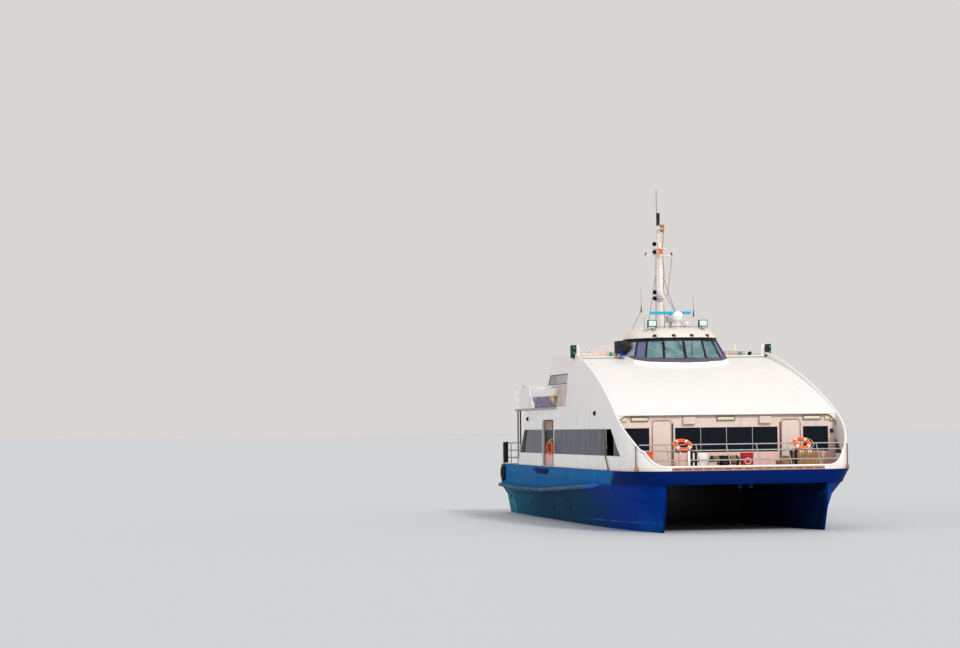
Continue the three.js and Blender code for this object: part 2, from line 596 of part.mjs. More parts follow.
// Radar: a pedestal on the roof and a scanner that turns on it; a satellite dome stands before them
const RADAR = { x: 1900, y: 0, length: 1800 };
addPart('radar_pedestal', join(
  bar([RADAR.x, RADAR.y, HOUSE_TOP + GAP], [RADAR.x, RADAR.y, 8560], 60, 10),
  block(RADAR.x - 200, RADAR.x + 200, RADAR.y - 160, RADAR.y + 160, 8540, 8820),
  block(RADAR.x - 260, RADAR.x + 260, RADAR.y - 220, RADAR.y + 220, HOUSE_TOP + GAP, HOUSE_TOP + 30),
), BARE_METAL);
addPart('radar_scanner', join(
  bar([RADAR.x, RADAR.y, 8828], [RADAR.x, RADAR.y, 8900], 55, 10),
  block(RADAR.x - 60, RADAR.x + 60, RADAR.y - RADAR.length / 2, RADAR.y + RADAR.length / 2, 8890, 9010),
), SKY_BLUE);
const DOME = { x: 3080, y: 20, radius: 235 };
addPart('satellite_dome', join(
  bar([DOME.x, DOME.y, HOUSE_TOP + GAP], [DOME.x, DOME.y, 8560], 90, 10),
  ball(DOME.x, DOME.y, 8745, DOME.radius, 14, 8),
), WHITE);

// Foredeck rail: tubes across the bow from wall to wall, on stanchions raked like the walls' edge
const FORE_RAIL = {
  foot: [13500, MAIN_DECK], head: [12750, 3370], rows: [3370, 3140, 2770], tube: 24, post: 21, collar: 45,
  posts: [-3030, -1840, -630, 560, 1790, 2960],
};
const rakedAt = (z) => {
  const { foot, head } = FORE_RAIL;
  return lerp(foot[0], head[0], (z - foot[1]) / (head[1] - foot[1]));
};
const acrossBow = join(...FORE_RAIL.rows.map((z) =>
  bar([rakedAt(z), -HALF_BEAM, z], [rakedAt(z), HALF_BEAM, z], FORE_RAIL.tube)));
addPart('foredeck_rail', above(join(
  acrossBow.intersect(insideShell),
  ...FORE_RAIL.posts.map((y) => bar([rakedAt(MAIN_DECK - 40), y, MAIN_DECK - 40],
    [FORE_RAIL.head[0], y, FORE_RAIL.head[1]], FORE_RAIL.post)),
  ...FORE_RAIL.posts.map((y) => bar([FORE_RAIL.foot[0], y, MAIN_DECK],
    [FORE_RAIL.foot[0], y, MAIN_DECK + 15], FORE_RAIL.collar)),
), MAIN_DECK + GAP), BARE_METAL);

// Lifebuoys lying tilted on the foredeck rail
const BUOY = { radius: 290, tube: 75, tilt: radians(35), x: 12950, z: 3360 };
for (const { side, y } of [{ side: 'port', y: 2320 }, { side: 'starboard', y: -2420 }]) {
  const ring = new THREE.TorusGeometry(BUOY.radius, BUOY.tube, 8, 20);
  ring.rotateY(BUOY.tilt);
  ring.translate(BUOY.x, y, BUOY.z);
  addPart(`lifebuoy_${side}`, solid(ring), ORANGE);
}

// Rails round the aft deck, with the two posts that carry the upper deck
const AFT_RAIL = { back: STERN + 120, half: 4480, front: -9900, top: MAIN_DECK + 1000, tube: 24 };
const ROW_STEP = 350;
const aftLine = (z) => [[AFT_RAIL.front, -AFT_RAIL.half, z], [AFT_RAIL.back, -AFT_RAIL.half, z],
  [AFT_RAIL.back, AFT_RAIL.half, z], [AFT_RAIL.front, AFT_RAIL.half, z]];
const aftPosts = [[AFT_RAIL.front, AFT_RAIL.half], [-11750, AFT_RAIL.half],
  [AFT_RAIL.back, AFT_RAIL.half], [AFT_RAIL.back, AFT_RAIL.half / 2], [AFT_RAIL.back, 0]];
addPart('aft_rail', join(
  ...[0, 1, 2].map((row) => barRun(aftLine(AFT_RAIL.top - row * ROW_STEP), AFT_RAIL.tube)),
  ...aftPosts.flatMap(([x, y]) => [-y, y].map((at) =>
    bar([x, at, MAIN_DECK + GAP], [x, at, AFT_RAIL.top + 10], AFT_RAIL.tube))),
  ...[-1, 1].map((sign) => bar([AFT_RAIL.front, sign * AFT_RAIL.half, MAIN_DECK + GAP],
    [AFT_RAIL.front, sign * AFT_RAIL.half, WALL_TOP], 45)),
), BARE_METAL);

// Upper deck bulwark panels and rail
const UPPER_RAIL = { top: UPPER_DECK + 1000, back: -10150, front: -9000, half: 4510, tube: 22 };
const panel = (sign) => {
  const [y0, y1] = [sign * 4490, sign * 4530].sort((p, q) => p - q);
  return block(-9050, -6720, y0, y1, UPPER_DECK + GAP, 5960);
};
const upperLine = (z) => {
  const { back, front, half } = UPPER_RAIL;
  return [[front, -half, z], [back, -half, z], [back, half, z], [front, half, z]];
};
addPart('upper_rail', join(
  panel(1), panel(-1),
  ...[0, 1, 2].map((row) => barRun(upperLine(UPPER_RAIL.top - row * ROW_STEP), UPPER_RAIL.tube)),
  ...[-1, -2 / 3, -1 / 3, 0, 1 / 3, 2 / 3, 1].map((share) => {
    const [x, y] = [UPPER_RAIL.back, share * UPPER_RAIL.half];
    return bar([x, y, UPPER_DECK + GAP], [x, y, UPPER_RAIL.top + 10], UPPER_RAIL.tube);
  }),
), WHITE);

// Stairs from the aft deck to the upper deck
const STAIRS = { foot: -12400, head: -10300, y: -2200, width: 800, steps: 10 };
const treads = Array.from({ length: STAIRS.steps }, (_, i) => {
  const share = (i + 0.5) / STAIRS.steps;
  const x = lerp(STAIRS.foot, STAIRS.head, share);
  const z = lerp(MAIN_DECK, UPPER_DECK, share);
  return block(x - 110, x + 110, STAIRS.y - STAIRS.width / 2, STAIRS.y + STAIRS.width / 2, z - 20, z + 20);
});
const stringer = (y) => plate([
  [STAIRS.foot, MAIN_DECK + GAP], [STAIRS.foot + 260, MAIN_DECK + GAP],
  [STAIRS.head, UPPER_DECK - 120], [STAIRS.head, UPPER_DECK], [STAIRS.head - 60, UPPER_DECK],
], 'y', y - 20, y + 20);
addPart('aft_stairs', join(stringer(STAIRS.y - STAIRS.width / 2), stringer(STAIRS.y + STAIRS.width / 2),
  ...treads), BARE_METAL);

// Life rafts: three canisters on a cradle, each side
const RAFTS = { y: 4080, z: 5440, radius: 350, length: 1560, starts: [-6500, -4790, -3080] };
for (const { side, sign } of SIDES) {
  const canisters = RAFTS.starts.map((x) =>
    bar([x, sign * RAFTS.y, RAFTS.z], [x + RAFTS.length, sign * RAFTS.y, RAFTS.z], RAFTS.radius, 16));
  const runners = [-220, 220].map((dy) => block(RAFTS.starts[0] - 40, RAFTS.starts[2] + RAFTS.length + 40,
    sign * RAFTS.y + dy - 35, sign * RAFTS.y + dy + 35, UPPER_DECK + GAP, RAFTS.z - 230));
  const ties = RAFTS.starts.map((x) => block(x + 300, x + 380,
    sign * RAFTS.y - 230, sign * RAFTS.y + 230, UPPER_DECK + 40, RAFTS.z - 300));
  addPart(`life_rafts_${side}`, join(...canisters, ...runners, ...ties), WHITE);
}

// Anchor windlass, cabinet, hose box and stowage boxes on the foredeck
const deckTop = MAIN_DECK + GAP;
const WINDLASS = { x: 11850, y: -480, drum: 130, rim: 190, axle: 2740, half: 520 };
const flange = (y) => bar([WINDLASS.x, y - 30, WINDLASS.axle], [WINDLASS.x, y + 30, WINDLASS.axle],
  WINDLASS.rim, 14);
addPart('anchor_windlass', join(
  block(WINDLASS.x - 300, WINDLASS.x + 300, -1100, 120, deckTop, MAIN_DECK + 60),
  block(WINDLASS.x - 180, WINDLASS.x + 180, WINDLASS.y - 110, WINDLASS.y + 110, MAIN_DECK + 40, 2920),
  bar([WINDLASS.x, WINDLASS.y - WINDLASS.half, WINDLASS.axle],
    [WINDLASS.x, WINDLASS.y + WINDLASS.half, WINDLASS.axle], WINDLASS.drum, 14),
  ...[-500, -180, 180, 500].map((dy) => flange(WINDLASS.y + dy)),
  ...[-560, 560].map((dy) => block(WINDLASS.x - 90, WINDLASS.x + 90, WINDLASS.y + dy - 30,
    WINDLASS.y + dy + 30, MAIN_DECK + 40, 2820)),
), RUBBER);
addPart('deck_cabinet', block(11430, 11800, -1700, -1120, deckTop, 3030), WHITE);
addPart('hose_box', block(11700, 12000, 220, 660, deckTop, 2990), RED);
addPart('stowage_boxes', join(
  block(11500, 12000, 1700, 3450, deckTop, 2680),
  block(11500, 12000, 1990, 3440, 2600, 2860),
  block(11500, 12000, 2260, 3430, 2800, 3010),
  block(11500, 11900, 2500, 3080, 2950, 3150),
), CRATE_BROWN);

// Under water: shaft tubes with brackets, propellers and rudders
const SHAFT = { aft: [-12420, -1000], tilt: radians(6), length: 3000, radius: 50, barrel: 85, bore: 42 };
const PROP = { radius: 380, hub: 75, blades: 4, gap: 10 };
const forwardAlong = [Math.cos(SHAFT.tilt), Math.sin(SHAFT.tilt)];
const onShaft = (distance, y) =>
  [SHAFT.aft[0] + distance * forwardAlong[0], y, SHAFT.aft[1] + distance * forwardAlong[1]];

function propellerBlade(index) {
  const outline = new THREE.Shape();
  outline.moveTo(-50, 40);
  outline.bezierCurveTo(-170, 150, -190, 330, 0, PROP.radius);
  outline.bezierCurveTo(170, 330, 150, 150, 50, 40);
  const geometry = new THREE.ExtrudeGeometry(outline, { depth: 16, bevelEnabled: false, curveSegments: 5 });
  geometry.translate(0, 0, -8).rotateY(radians(55));
  geometry.rotateX(Math.PI / 2).rotateX((index / PROP.blades) * Math.PI * 2);
  return solid(geometry);
}

for (const { side, sign } of SIDES) {
  const y = sign * HULL_CENTRE;
  const gear = cut(
    join(
      bar(onShaft(0, y), onShaft(SHAFT.length, y), SHAFT.radius, 12),
      bar(onShaft(0, y), onShaft(320, y), SHAFT.barrel, 12),
      plate([[SHAFT.aft[0] + 60, -960], [SHAFT.aft[0] + 260, -960], [SHAFT.aft[0] + 330, -300],
        [SHAFT.aft[0] + 90, -300]], 'y', y - 18, y + 18),
    ),
    hulls[side].translate([0, 0, -GAP]),
    bar(onShaft(-50, y), onShaft(200, y), SHAFT.bore, 16),
  );
  addPart(`shaft_bracket_${side}`, gear, BRONZE);
  const spinner = join(
    bar([-PROP.gap - 190, 0, 0], [-PROP.gap, 0, 0], PROP.hub, 12),
    bar([-PROP.gap - 20, 0, 0], [150, 0, 0], 34, 12),
    ...Array.from({ length: PROP.blades }, (_, i) => propellerBlade(i).translate([-PROP.gap - 95, 0, 0])),
  );
  const holder = new THREE.Group();
  holder.position.set(...onShaft(0, y));
  holder.rotation.y = -SHAFT.tilt;
  addPart(`propeller_${side}`, spinner, BRONZE, holder);
  ferry.add(holder);
}

const RUDDER = { stock: -13280, top: -500, blade: [-600, -1330] };
for (const { side, sign } of SIDES) {
  const foil = [[130, 0], [90, 28], [0, 36], [-330, 6], [-330, -6], [0, -36], [90, -28]]
    .map(([x, y]) => [RUDDER.stock + x, sign * HULL_CENTRE + y]);
  addPart(`rudder_${side}`, join(
    plate(foil, 'z', RUDDER.blade[1], RUDDER.blade[0]),
    bar([RUDDER.stock, sign * HULL_CENTRE, RUDDER.blade[0] - 50],
      [RUDDER.stock, sign * HULL_CENTRE, RUDDER.top], 34, 12),
  ), BARE_METAL);
}

export default ferry;
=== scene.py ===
"""Looks of a twin-hull passenger ferry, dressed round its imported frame.

Everything is in metres in the frame's own axes: +X forward, +Y to port, +Z up, waterline at zero.
Each sub-assembly is a class that builds and dresses its own pieces, and main() runs them in order.
A piece's shape is settled into its mesh, so the patterns in its finish can be placed in ship's metres.
"""

from __future__ import annotations

import json
import logging
import math
from dataclasses import dataclass, field
from enum import Enum
from typing import Any, Callable, Sequence

import bpy
from mathutils import Matrix, Vector

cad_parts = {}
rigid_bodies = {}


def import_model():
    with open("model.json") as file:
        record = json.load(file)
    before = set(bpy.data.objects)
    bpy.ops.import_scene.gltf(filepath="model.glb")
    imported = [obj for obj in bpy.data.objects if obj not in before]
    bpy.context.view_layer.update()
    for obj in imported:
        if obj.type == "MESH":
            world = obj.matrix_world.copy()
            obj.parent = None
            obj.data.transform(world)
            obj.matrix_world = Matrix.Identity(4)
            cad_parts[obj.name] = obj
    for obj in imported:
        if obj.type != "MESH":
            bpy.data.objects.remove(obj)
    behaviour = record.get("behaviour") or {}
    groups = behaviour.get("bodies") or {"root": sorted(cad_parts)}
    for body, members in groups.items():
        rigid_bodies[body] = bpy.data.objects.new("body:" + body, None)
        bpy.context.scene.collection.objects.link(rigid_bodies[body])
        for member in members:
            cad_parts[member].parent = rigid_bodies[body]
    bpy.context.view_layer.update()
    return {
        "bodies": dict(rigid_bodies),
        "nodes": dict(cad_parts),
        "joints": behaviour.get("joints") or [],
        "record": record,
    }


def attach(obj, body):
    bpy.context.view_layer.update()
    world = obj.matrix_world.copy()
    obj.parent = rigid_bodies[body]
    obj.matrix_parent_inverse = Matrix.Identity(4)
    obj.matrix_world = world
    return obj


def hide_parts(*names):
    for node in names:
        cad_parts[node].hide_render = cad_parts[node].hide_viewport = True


LOG = logging.getLogger("ferry")
Colour = tuple[float, float, float]
Point = tuple[float, float, float]
Piece = bpy.types.Object
FaceTest = Callable[[Vector, Vector], bool]

SHIP = "ship"
WATERLINE = 0.0
DECK_TOP = 2.372
BULKHEAD = 10.55
STEEP = 0.9


class Side(Enum):
    """The two sides of the ship, with the sign of their Y."""

    PORT = 1
    STARBOARD = -1

    @property
    def word(self) -> str:
        """The side's name as the nodes spell it."""
        return self.name.lower()


class Axis(Enum):
    """The ship's axes, by their place in a point."""

    X = 0
    Y = 1
    Z = 2


@dataclass(frozen=True)
class Field:
    """A number that varies over a surface, for use in plain expressions."""

    shader: "Shader"
    socket: Any

    def apply(self, operation: str, *others: "Field | float", clamp: bool = False) -> "Field":
        """Joins this field with others through one Math node.

        Args:
            operation: the Math node's operation.
            others: the second and third operands.
            clamp: True to hold the result between 0 and 1.

        Returns:
            The new field.
        """
        values = {i: item for i, item in enumerate((self, *others))}
        node = self.shader.node("ShaderNodeMath", {"operation": operation, "use_clamp": clamp}, values)
        return Field(self.shader, node.outputs[0])

    def __add__(self, other: "Field | float") -> "Field":
        """This field plus another."""
        return self.apply("ADD", other)

    def __radd__(self, other: float) -> "Field":
        """A number plus this field."""
        return self.apply("ADD", other)

    def __sub__(self, other: "Field | float") -> "Field":
        """This field less another."""
        return self.apply("SUBTRACT", other)

    def __rsub__(self, other: float) -> "Field":
        """A number less this field."""
        return (self * -1.0).apply("ADD", other)

    def __mul__(self, other: "Field | float") -> "Field":
        """This field times another."""
        return self.apply("MULTIPLY", other)

    def __rmul__(self, other: float) -> "Field":
        """A number times this field."""
        return self.apply("MULTIPLY", other)

    def size(self) -> "Field":
        """This field without its sign."""
        return self.apply("ABSOLUTE")

    def clamped(self) -> "Field":
        """This field held between 0 and 1."""
        return self.apply("ADD", 0.0, clamp=True)

    def ramp(self, low: float, high: float) -> "Field":
        """A smooth step from 0 at low to 1 at high; low may lie above high.

        Args:
            low: the value that gives 0.
            high: the value that gives 1.

        Returns:
            The stepped field.
        """
        flip = low > high
        first, last = (high, low) if flip else (low, high)
        node = self.shader.node(
            "ShaderNodeMapRange",
            {"interpolation_type": "SMOOTHSTEP"},
            {"Value": self, "From Min": first, "From Max": last},
        )
        step = Field(self.shader, node.outputs["Result"])
        return 1.0 - step if flip else step

    def between(self, low: float, high: float, soft: float) -> "Field":
        """1 from low to high and 0 outside, with soft ends."""
        return self.ramp(low - soft, low + soft) * self.ramp(high + soft, high - soft)

    def line(self, at: "Field | float", half: float) -> "Field":
        """1 on a line where this field equals another, fading out at half a width."""
        return (self - at).size().ramp(half, half * 0.3)


class Shader:
    """One material's node tree, written as expressions."""

    def __init__(self, name: str) -> None:
        """Starts an empty material.

        Args:
            name: the material's name.
        """
        self.material = bpy.data.materials.new(name)
        self.material.use_nodes = True
        self.tree = self.material.node_tree
        self.tree.nodes.clear()
        self.place = self.node("ShaderNodeTexCoord").outputs["Object"]
        split = self.node("ShaderNodeSeparateXYZ", None, {0: self.place})
        self.x, self.y, self.z = (Field(self, split.outputs[i]) for i in range(3))

    def node(self, kind: str, settings: dict | None = None, inputs: dict | None = None) -> Any:
        """Makes any node.

        Args:
            kind: the node's type.
            settings: properties to set first.
            inputs: socket name or number to a value, a socket or a field.

        Returns:
            The node.
        """
        made = self.tree.nodes.new(kind)
        for name, value in (settings or {}).items():
            setattr(made, name, value)
        for name, value in (inputs or {}).items():
            socket = made.inputs[name]
            value = value.socket if isinstance(value, Field) else value
            if isinstance(value, bpy.types.NodeSocket):
                self.tree.links.new(value, socket)
            else:
                socket.default_value = value
        return made

    def noise(self, scale: float, detail: float = 4.0, rough: float = 0.55, stretch: Point = (1, 1, 1)) -> Field:
        """Fractal noise from 0 to 1 on the object's own coordinates.

        Args:
            scale: lumps per metre.
            detail: octaves.
            rough: strength of the finer octaves.
            stretch: extra scale of each axis.

        Returns:
            The noise as a field.
        """
        place = self.node("ShaderNodeMapping", None, {"Vector": self.place, "Scale": stretch}).outputs[0]
        made = self.node(
            "ShaderNodeTexNoise", None, {"Vector": place, "Scale": scale, "Detail": detail, "Roughness": rough}
        )
        return Field(self, made.outputs[0])

    def blend(self, share: Field | float, first: Any, second: Any) -> Any:
        """A colour between two others.

        Args:
            share: 0 for the first colour, 1 for the second.
            first: a colour or a colour socket.
            second: a colour or a colour socket.

        Returns:
            The colour socket.
        """
        made = self.node("ShaderNodeMix", {"data_type": "RGBA"}, {0: share})
        for index, colour in ((6, first), (7, second)):
            if isinstance(colour, bpy.types.NodeSocket):
                self.tree.links.new(colour, made.inputs[index])
            else:
                made.inputs[index].default_value = (*colour, 1.0)
        return made.outputs[2]

    def bump(self, height: Field, depth: float, strength: float = 1.0, after: Any = None) -> Any:
        """A bumped normal.

        Args:
            height: the relief, from 0 to 1.
            depth: how deep a full step is, in metres.
            strength: the node's strength.
            after: an earlier bump's normal to build on.

        Returns:
            The normal socket.
        """
        inputs = {"Height": height, "Distance": depth, "Strength": strength}
        if after is not None:
            inputs["Normal"] = after
        return self.node("ShaderNodeBump", None, inputs).outputs[0]

    def surface(self, colour: Any, **sockets: Any) -> bpy.types.Material:
        """Ends the tree in one principled surface.

        Args:
            colour: a colour or a colour socket.
            sockets: the shader's other sockets, spelt with underscores.

        Returns:
            The material.
        """
        inputs = {name.replace("_", " ").title(): value for name, value in sockets.items()}
        if "Specular Level" in inputs:
            inputs["Specular IOR Level"] = inputs.pop("Specular Level")
        inputs["Base Color"] = colour if isinstance(colour, bpy.types.NodeSocket) else (*colour, 1.0)
        shader = self.node("ShaderNodeBsdfPrincipled", None, inputs)
        self.node("ShaderNodeOutputMaterial", None, {0: shader.outputs[0]})
        return self.material


@dataclass(frozen=True)
class HullPaint:
    """Royal blue gloss, teal and dulled aft with the teal partly painted water reflection, brighter blue low at the bow
    as painted water reflection, painted shade on the bow band above the knuckle and in the tunnel between the hulls,
    cerulean and streaked on the strake, red-brown under water.
    """

    name: str = "hull_paint"
    slot: str = "hull_paint"
    royal: Colour = (0.0008, 0.032, 0.26)
    shaded: Colour = (0.0006, 0.014, 0.12)
    teal: Colour = (0.0005, 0.045, 0.095)
    pale_teal: Colour = (0.003, 0.13, 0.2)
    cerulean: Colour = (0.001, 0.14, 0.42)
    chalk: Colour = (0.08, 0.3, 0.42)
    sea_blue: Colour = (0.02, 0.26, 0.5)
    tunnel: Colour = (0.0008, 0.004, 0.012)
    bottom: Colour = (0.09, 0.018, 0.012)
    deck: Colour = (0.42, 0.31, 0.24)

    def build(self) -> bpy.types.Material:
        """Builds the material."""
        s = Shader(self.name)
        cloud = s.noise(0.4, 3.0)
        streak = s.noise(1.0, 5.0, 0.65, (2.6, 2.6, 0.2))
        fine = s.noise(6.0, 4.0, 0.6, (1.0, 1.0, 0.12))
        knuckle = (1.26 + (s.x + 9.4) * (s.x + 9.4) * 0.00163).apply("MINIMUM", 1.8)
        above = (s.z - knuckle).ramp(-0.03, 0.05)
        # Teal towards the stern: partly painted reflection of the water, partly the paint's duller tone.
        side = s.blend((s.x.ramp(11.2, 1.0) * (0.7 + cloud * 0.6)).clamped(), self.royal, self.teal)
        side = s.blend((s.x.ramp(-4.0, -12.5) * (0.35 + streak)).clamped(), side, self.pale_teal)
        # Brighter blue low on the bow near the waterline: painted reflection of the water.
        side = s.blend((s.z.ramp(0.9, 0.0) * s.x.ramp(9.5, 12.5) * 0.35).clamped(), side, self.cerulean)
        # Darker blue on the bow band above the knuckle: painted shade.
        side = s.blend((above * s.x.ramp(8.0, 9.2)).clamped(), side, self.shaded)
        strake_end = s.x + (s.z - 2.25) * -1.22
        strake = (strake_end.ramp(10.7, 10.35) * above).clamped()
        side = s.blend((strake * (0.66 + streak * 0.4)).clamped(), side, self.cerulean)
        side = s.blend((streak.ramp(0.5, 0.7) * strake * 0.4).clamped(), side, self.sea_blue)
        # Streaky teal mottling forward: painted reflection of the water.
        side = s.blend((fine.ramp(0.54, 0.75) * 0.5 * s.x.ramp(8.0, 2.0)).clamped(), side, self.teal)
        worn = s.x.ramp(-10.6, -12.6) * s.noise(1.6, 5.0, 0.62, (1.0, 1.0, 0.35)).ramp(0.44, 0.64)
        side = s.blend((worn * (1.0 - above) * 0.7).clamped(), side, self.chalk)
        scratch = s.z.line((s.x - 2.8) * 0.0107 + 0.26, 0.018) * s.x.between(2.9, 12.9, 0.3)
        side = s.blend((scratch * s.noise(2.0, 3.0).ramp(0.36, 0.56) * 0.7).clamped(), side, self.chalk)
        # Near-black inner sides of the hulls: painted shade in the tunnel between them.
        inner = s.y.size().ramp(3.3, 3.1) * s.x.ramp(13.5, 13.3)
        side = s.blend((inner * (0.9 + above)).clamped(), side, self.tunnel)
        foul = s.z + s.noise(1.5, 4.0) * 0.06
        side = s.blend(foul.ramp(0.06, 0.0), side, self.bottom)
        on_deck = s.z.ramp(2.366, 2.3695)
        grit = s.noise(14.0, 3.0)
        deck = s.blend(grit.ramp(0.3, 0.7), self.deck, tuple(c * 0.72 for c in self.deck))
        colour = s.blend(on_deck, side, deck)
        dull = (0.42 + 0.2 * cloud + 0.2 * streak + on_deck * 0.3).clamped()
        relief = s.bump(s.noise(1.1, 2.0), 0.014, 0.6)
        relief = s.bump((grit * on_deck + scratch * 0.4).clamped(), 0.004, 0.7, relief)
        return s.surface(colour, roughness=dull, normal=relief, specular_level=0.03)


@dataclass(frozen=True)
class ShipPaint:
    """Marine enamel on welded plate: faint ripples, grime in streaks and a little chalking."""

    name: str
    slot: str
    colour: Colour
    shade: Colour
    roughness: float = 0.34
    grime: float = 0.3
    ripple: float = 0.004
    metallic: float = 0.0
    grain: float = 1.0

    def build(self) -> bpy.types.Material:
        """Builds the material."""
        s = Shader(self.name)
        cloud = s.noise(0.6 * self.grain, 3.0)
        streak = s.noise(2.2 * self.grain, 5.0, 0.62, (1.0, 1.0, 0.16))
        speck = s.noise(38.0 * self.grain, 2.0)
        dirt = (streak.ramp(0.46, 0.76) * (0.45 + cloud) * self.grime).clamped()
        colour = s.blend(dirt, self.colour, self.shade)
        colour = s.blend((speck.ramp(0.62, 0.8) * self.grime * 0.5).clamped(), colour, self.shade)
        dull = (self.roughness + cloud * 0.14 + streak * 0.12).clamped()
        relief = s.bump(s.noise(0.9 * self.grain, 2.0), self.ripple, 0.7)
        relief = s.bump(speck, 0.0006, 0.4, relief)
        return s.surface(colour, roughness=dull, metallic=self.metallic, normal=relief, specular_level=0.18)


@dataclass(frozen=True)
class WallPaint:
    """White shell paint: faint plate seams, weeps under the decks and a grimy, bluish foot."""

    name: str = "shell_paint"
    slot: str = "white_paint"
    colour: Colour = (0.88, 0.875, 0.865)
    weep: Colour = (0.5, 0.42, 0.33)
    foot: Colour = (0.8, 0.75, 0.74)
    seams: Sequence[float] = (-9.2, -6.44, -3.85, -0.9, 1.73, 4.62, 6.81, 8.9, 10.4)
    bay: Colour = (0.6, 0.52, 0.47)

    def build(self) -> bpy.types.Material:
        """Builds the material."""
        s = Shader(self.name)
        cloud = s.noise(0.5, 3.0)
        streak = s.noise(2.6, 5.0, 0.66, (1.0, 1.0, 0.1))
        fleck = s.noise(34.0, 2.0)
        below = s.z.between(2.3, 2.9, 0.25) + s.z.between(4.1, 4.95, 0.25) * 0.7 + s.z.ramp(6.3, 7.3) * 0.25
        colour = s.blend((cloud.ramp(0.35, 0.7) * 0.16).clamped(), self.colour, tuple(c * 0.86 for c in self.colour))
        colour = s.blend((streak.ramp(0.5, 0.72) * (0.06 + below * 0.22)).clamped(), colour, self.weep)
        colour = s.blend((s.z.ramp(2.52, 2.4) * 0.6).clamped(), colour, self.foot)
        seam = s.z * 0.0
        for at in self.seams:
            seam = seam + s.x.line(at, 0.012)
        seam = (seam + s.z.line(4.72, 0.012)).clamped() * s.y.size().ramp(3.9, 4.1)
        colour = s.blend((seam * 0.14).clamped(), colour, self.weep)
        panel = s.x.between(-0.74, 1.05, 0.02) * s.z.between(4.99, 5.94, 0.02) * s.y.size().ramp(4.2, 4.3)
        wood = s.noise(9.0, 4.0, 0.6, (1.0, 1.0, 0.08)).ramp(0.4, 0.62)
        colour = s.blend((panel * (0.35 + wood * 0.6)).clamped(), colour, self.bay)
        dull = (0.3 + cloud * 0.12 + streak * 0.16).clamped()
        relief = s.bump(s.noise(0.8, 2.0), 0.005, 0.7)
        relief = s.bump((1.0 - seam).clamped(), 0.002, 0.6, relief)
        relief = s.bump(fleck, 0.0006, 0.4, relief)
        return s.surface(colour, roughness=dull, normal=relief, specular_level=0.35)


@dataclass(frozen=True)
class CabinPaint:
    """Pinkish cream bulkhead paint, warmer and dirtier towards the deck, with painted shade over the doors."""

    name: str
    slot: str = "cabin_white"
    high: Colour = (0.8, 0.68, 0.62)
    low: Colour = (0.7, 0.43, 0.4)
    grime: Colour = (0.34, 0.22, 0.16)
    lintel: float = 99.0

    def build(self) -> bpy.types.Material:
        """Builds the material."""
        s = Shader(self.name)
        cloud = s.noise(0.9, 4.0)
        streak = s.noise(3.4, 5.0, 0.66, (1.0, 1.0, 0.12))
        fleck = s.noise(46.0, 2.0)
        colour = s.blend((s.z.ramp(4.2, 2.5) * (0.6 + cloud * 0.6)).clamped(), self.high, self.low)
        foot = s.z.ramp(2.62, 2.38) * s.noise(5.0, 4.0).ramp(0.4, 0.62)
        colour = s.blend((streak.ramp(0.5, 0.74) * 0.3 + foot * 0.5).clamped(), colour, self.grime)
        # Painted shade above a set height, under the recessed doorway's head, in the grime colour.
        colour = s.blend((s.z.ramp(self.lintel, self.lintel + 0.02) * 0.8).clamped(), colour, self.grime)
        relief = s.bump(s.noise(1.4, 2.0), 0.004, 0.6)
        relief = s.bump(fleck, 0.0006, 0.4, relief)
        return s.surface(
            colour, roughness=(0.4 + cloud * 0.2).clamped(), normal=relief, specular_level=0.3
        )


@dataclass(frozen=True)
class HousePaint:
    """Wheelhouse walls: dark purple-grey window frames over a white plinth, and a white back."""

    name: str = "wheelhouse_paint"
    slot: str = "white_paint"
    white: Colour = (0.88, 0.88, 0.87)
    frames: Colour = (0.008, 0.008, 0.014)
    sill: Colour = (0.11, 0.09, 0.14)

    def build(self) -> bpy.types.Material:
        """Builds the material."""
        s = Shader(self.name)
        sill_foot = 7.225 - (s.x - 1.75) * 0.172
        dust = s.noise(6.0, 5.0, 0.6, (1.0, 1.0, 0.4))
        band = (s.z - sill_foot).ramp(-0.006, 0.006) * s.x.ramp(1.285, 1.3)
        dark = s.blend((s.z - sill_foot).ramp(0.17, 0.12), self.frames, self.sill)
        dark = s.blend((dust.ramp(0.45, 0.75) * 0.08).clamped(), dark, (0.3, 0.28, 0.3))
        colour = s.blend(band, self.white, dark)
        relief = s.bump(dust, 0.0015, 0.5)
        return s.surface(colour, roughness=(0.34 + dust * 0.25).clamped(), normal=relief, specular_level=0.15)


@dataclass(frozen=True)
class MastPaint:
    """Mast paint: pinkish cream, greyer on its starboard half as painted shade, and dark at the top."""

    name: str = "mast_paint"
    slot: str = "white_paint"
    cream: Colour = (0.82, 0.74, 0.68)
    shaded: Colour = (0.6, 0.58, 0.6)
    dark: Colour = (0.02, 0.022, 0.03)

    def build(self) -> bpy.types.Material:
        """Builds the material."""
        s = Shader(self.name)
        grime = s.noise(5.0, 4.0, 0.6, (1.0, 1.0, 0.3))
        # Greyer starboard half: painted shade.
        colour = s.blend((s.y.ramp(0.01, -0.02) * s.z.ramp(11.5, 11.3)).clamped(), self.cream, self.shaded)
        colour = s.blend((grime.ramp(0.48, 0.74) * 0.4).clamped(), colour, (0.5, 0.38, 0.3))
        colour = s.blend(s.z.ramp(12.86, 12.9), colour, self.dark)
        return s.surface(colour, roughness=(0.4 + grime * 0.2).clamped(), normal=s.bump(grime, 0.002, 0.5),
                         specular_level=0.2)


@dataclass(frozen=True)
class DeckPaint:
    """Non-slip deck paint with grit, scuffs and damp patches."""

    name: str
    slot: str
    colour: Colour
    worn: Colour

    def build(self) -> bpy.types.Material:
        """Builds the material."""
        s = Shader(self.name)
        grit = s.noise(120.0, 2.0)
        scuff = s.noise(3.0, 5.0, 0.65)
        colour = s.blend(scuff.ramp(0.42, 0.7), self.colour, self.worn)
        colour = s.blend(grit.ramp(0.5, 0.75) * 0.35, colour, tuple(c * 0.55 for c in self.colour))
        return s.surface(colour, roughness=(0.62 + scuff * 0.3).clamped(), normal=s.bump(grit, 0.002, 0.8))


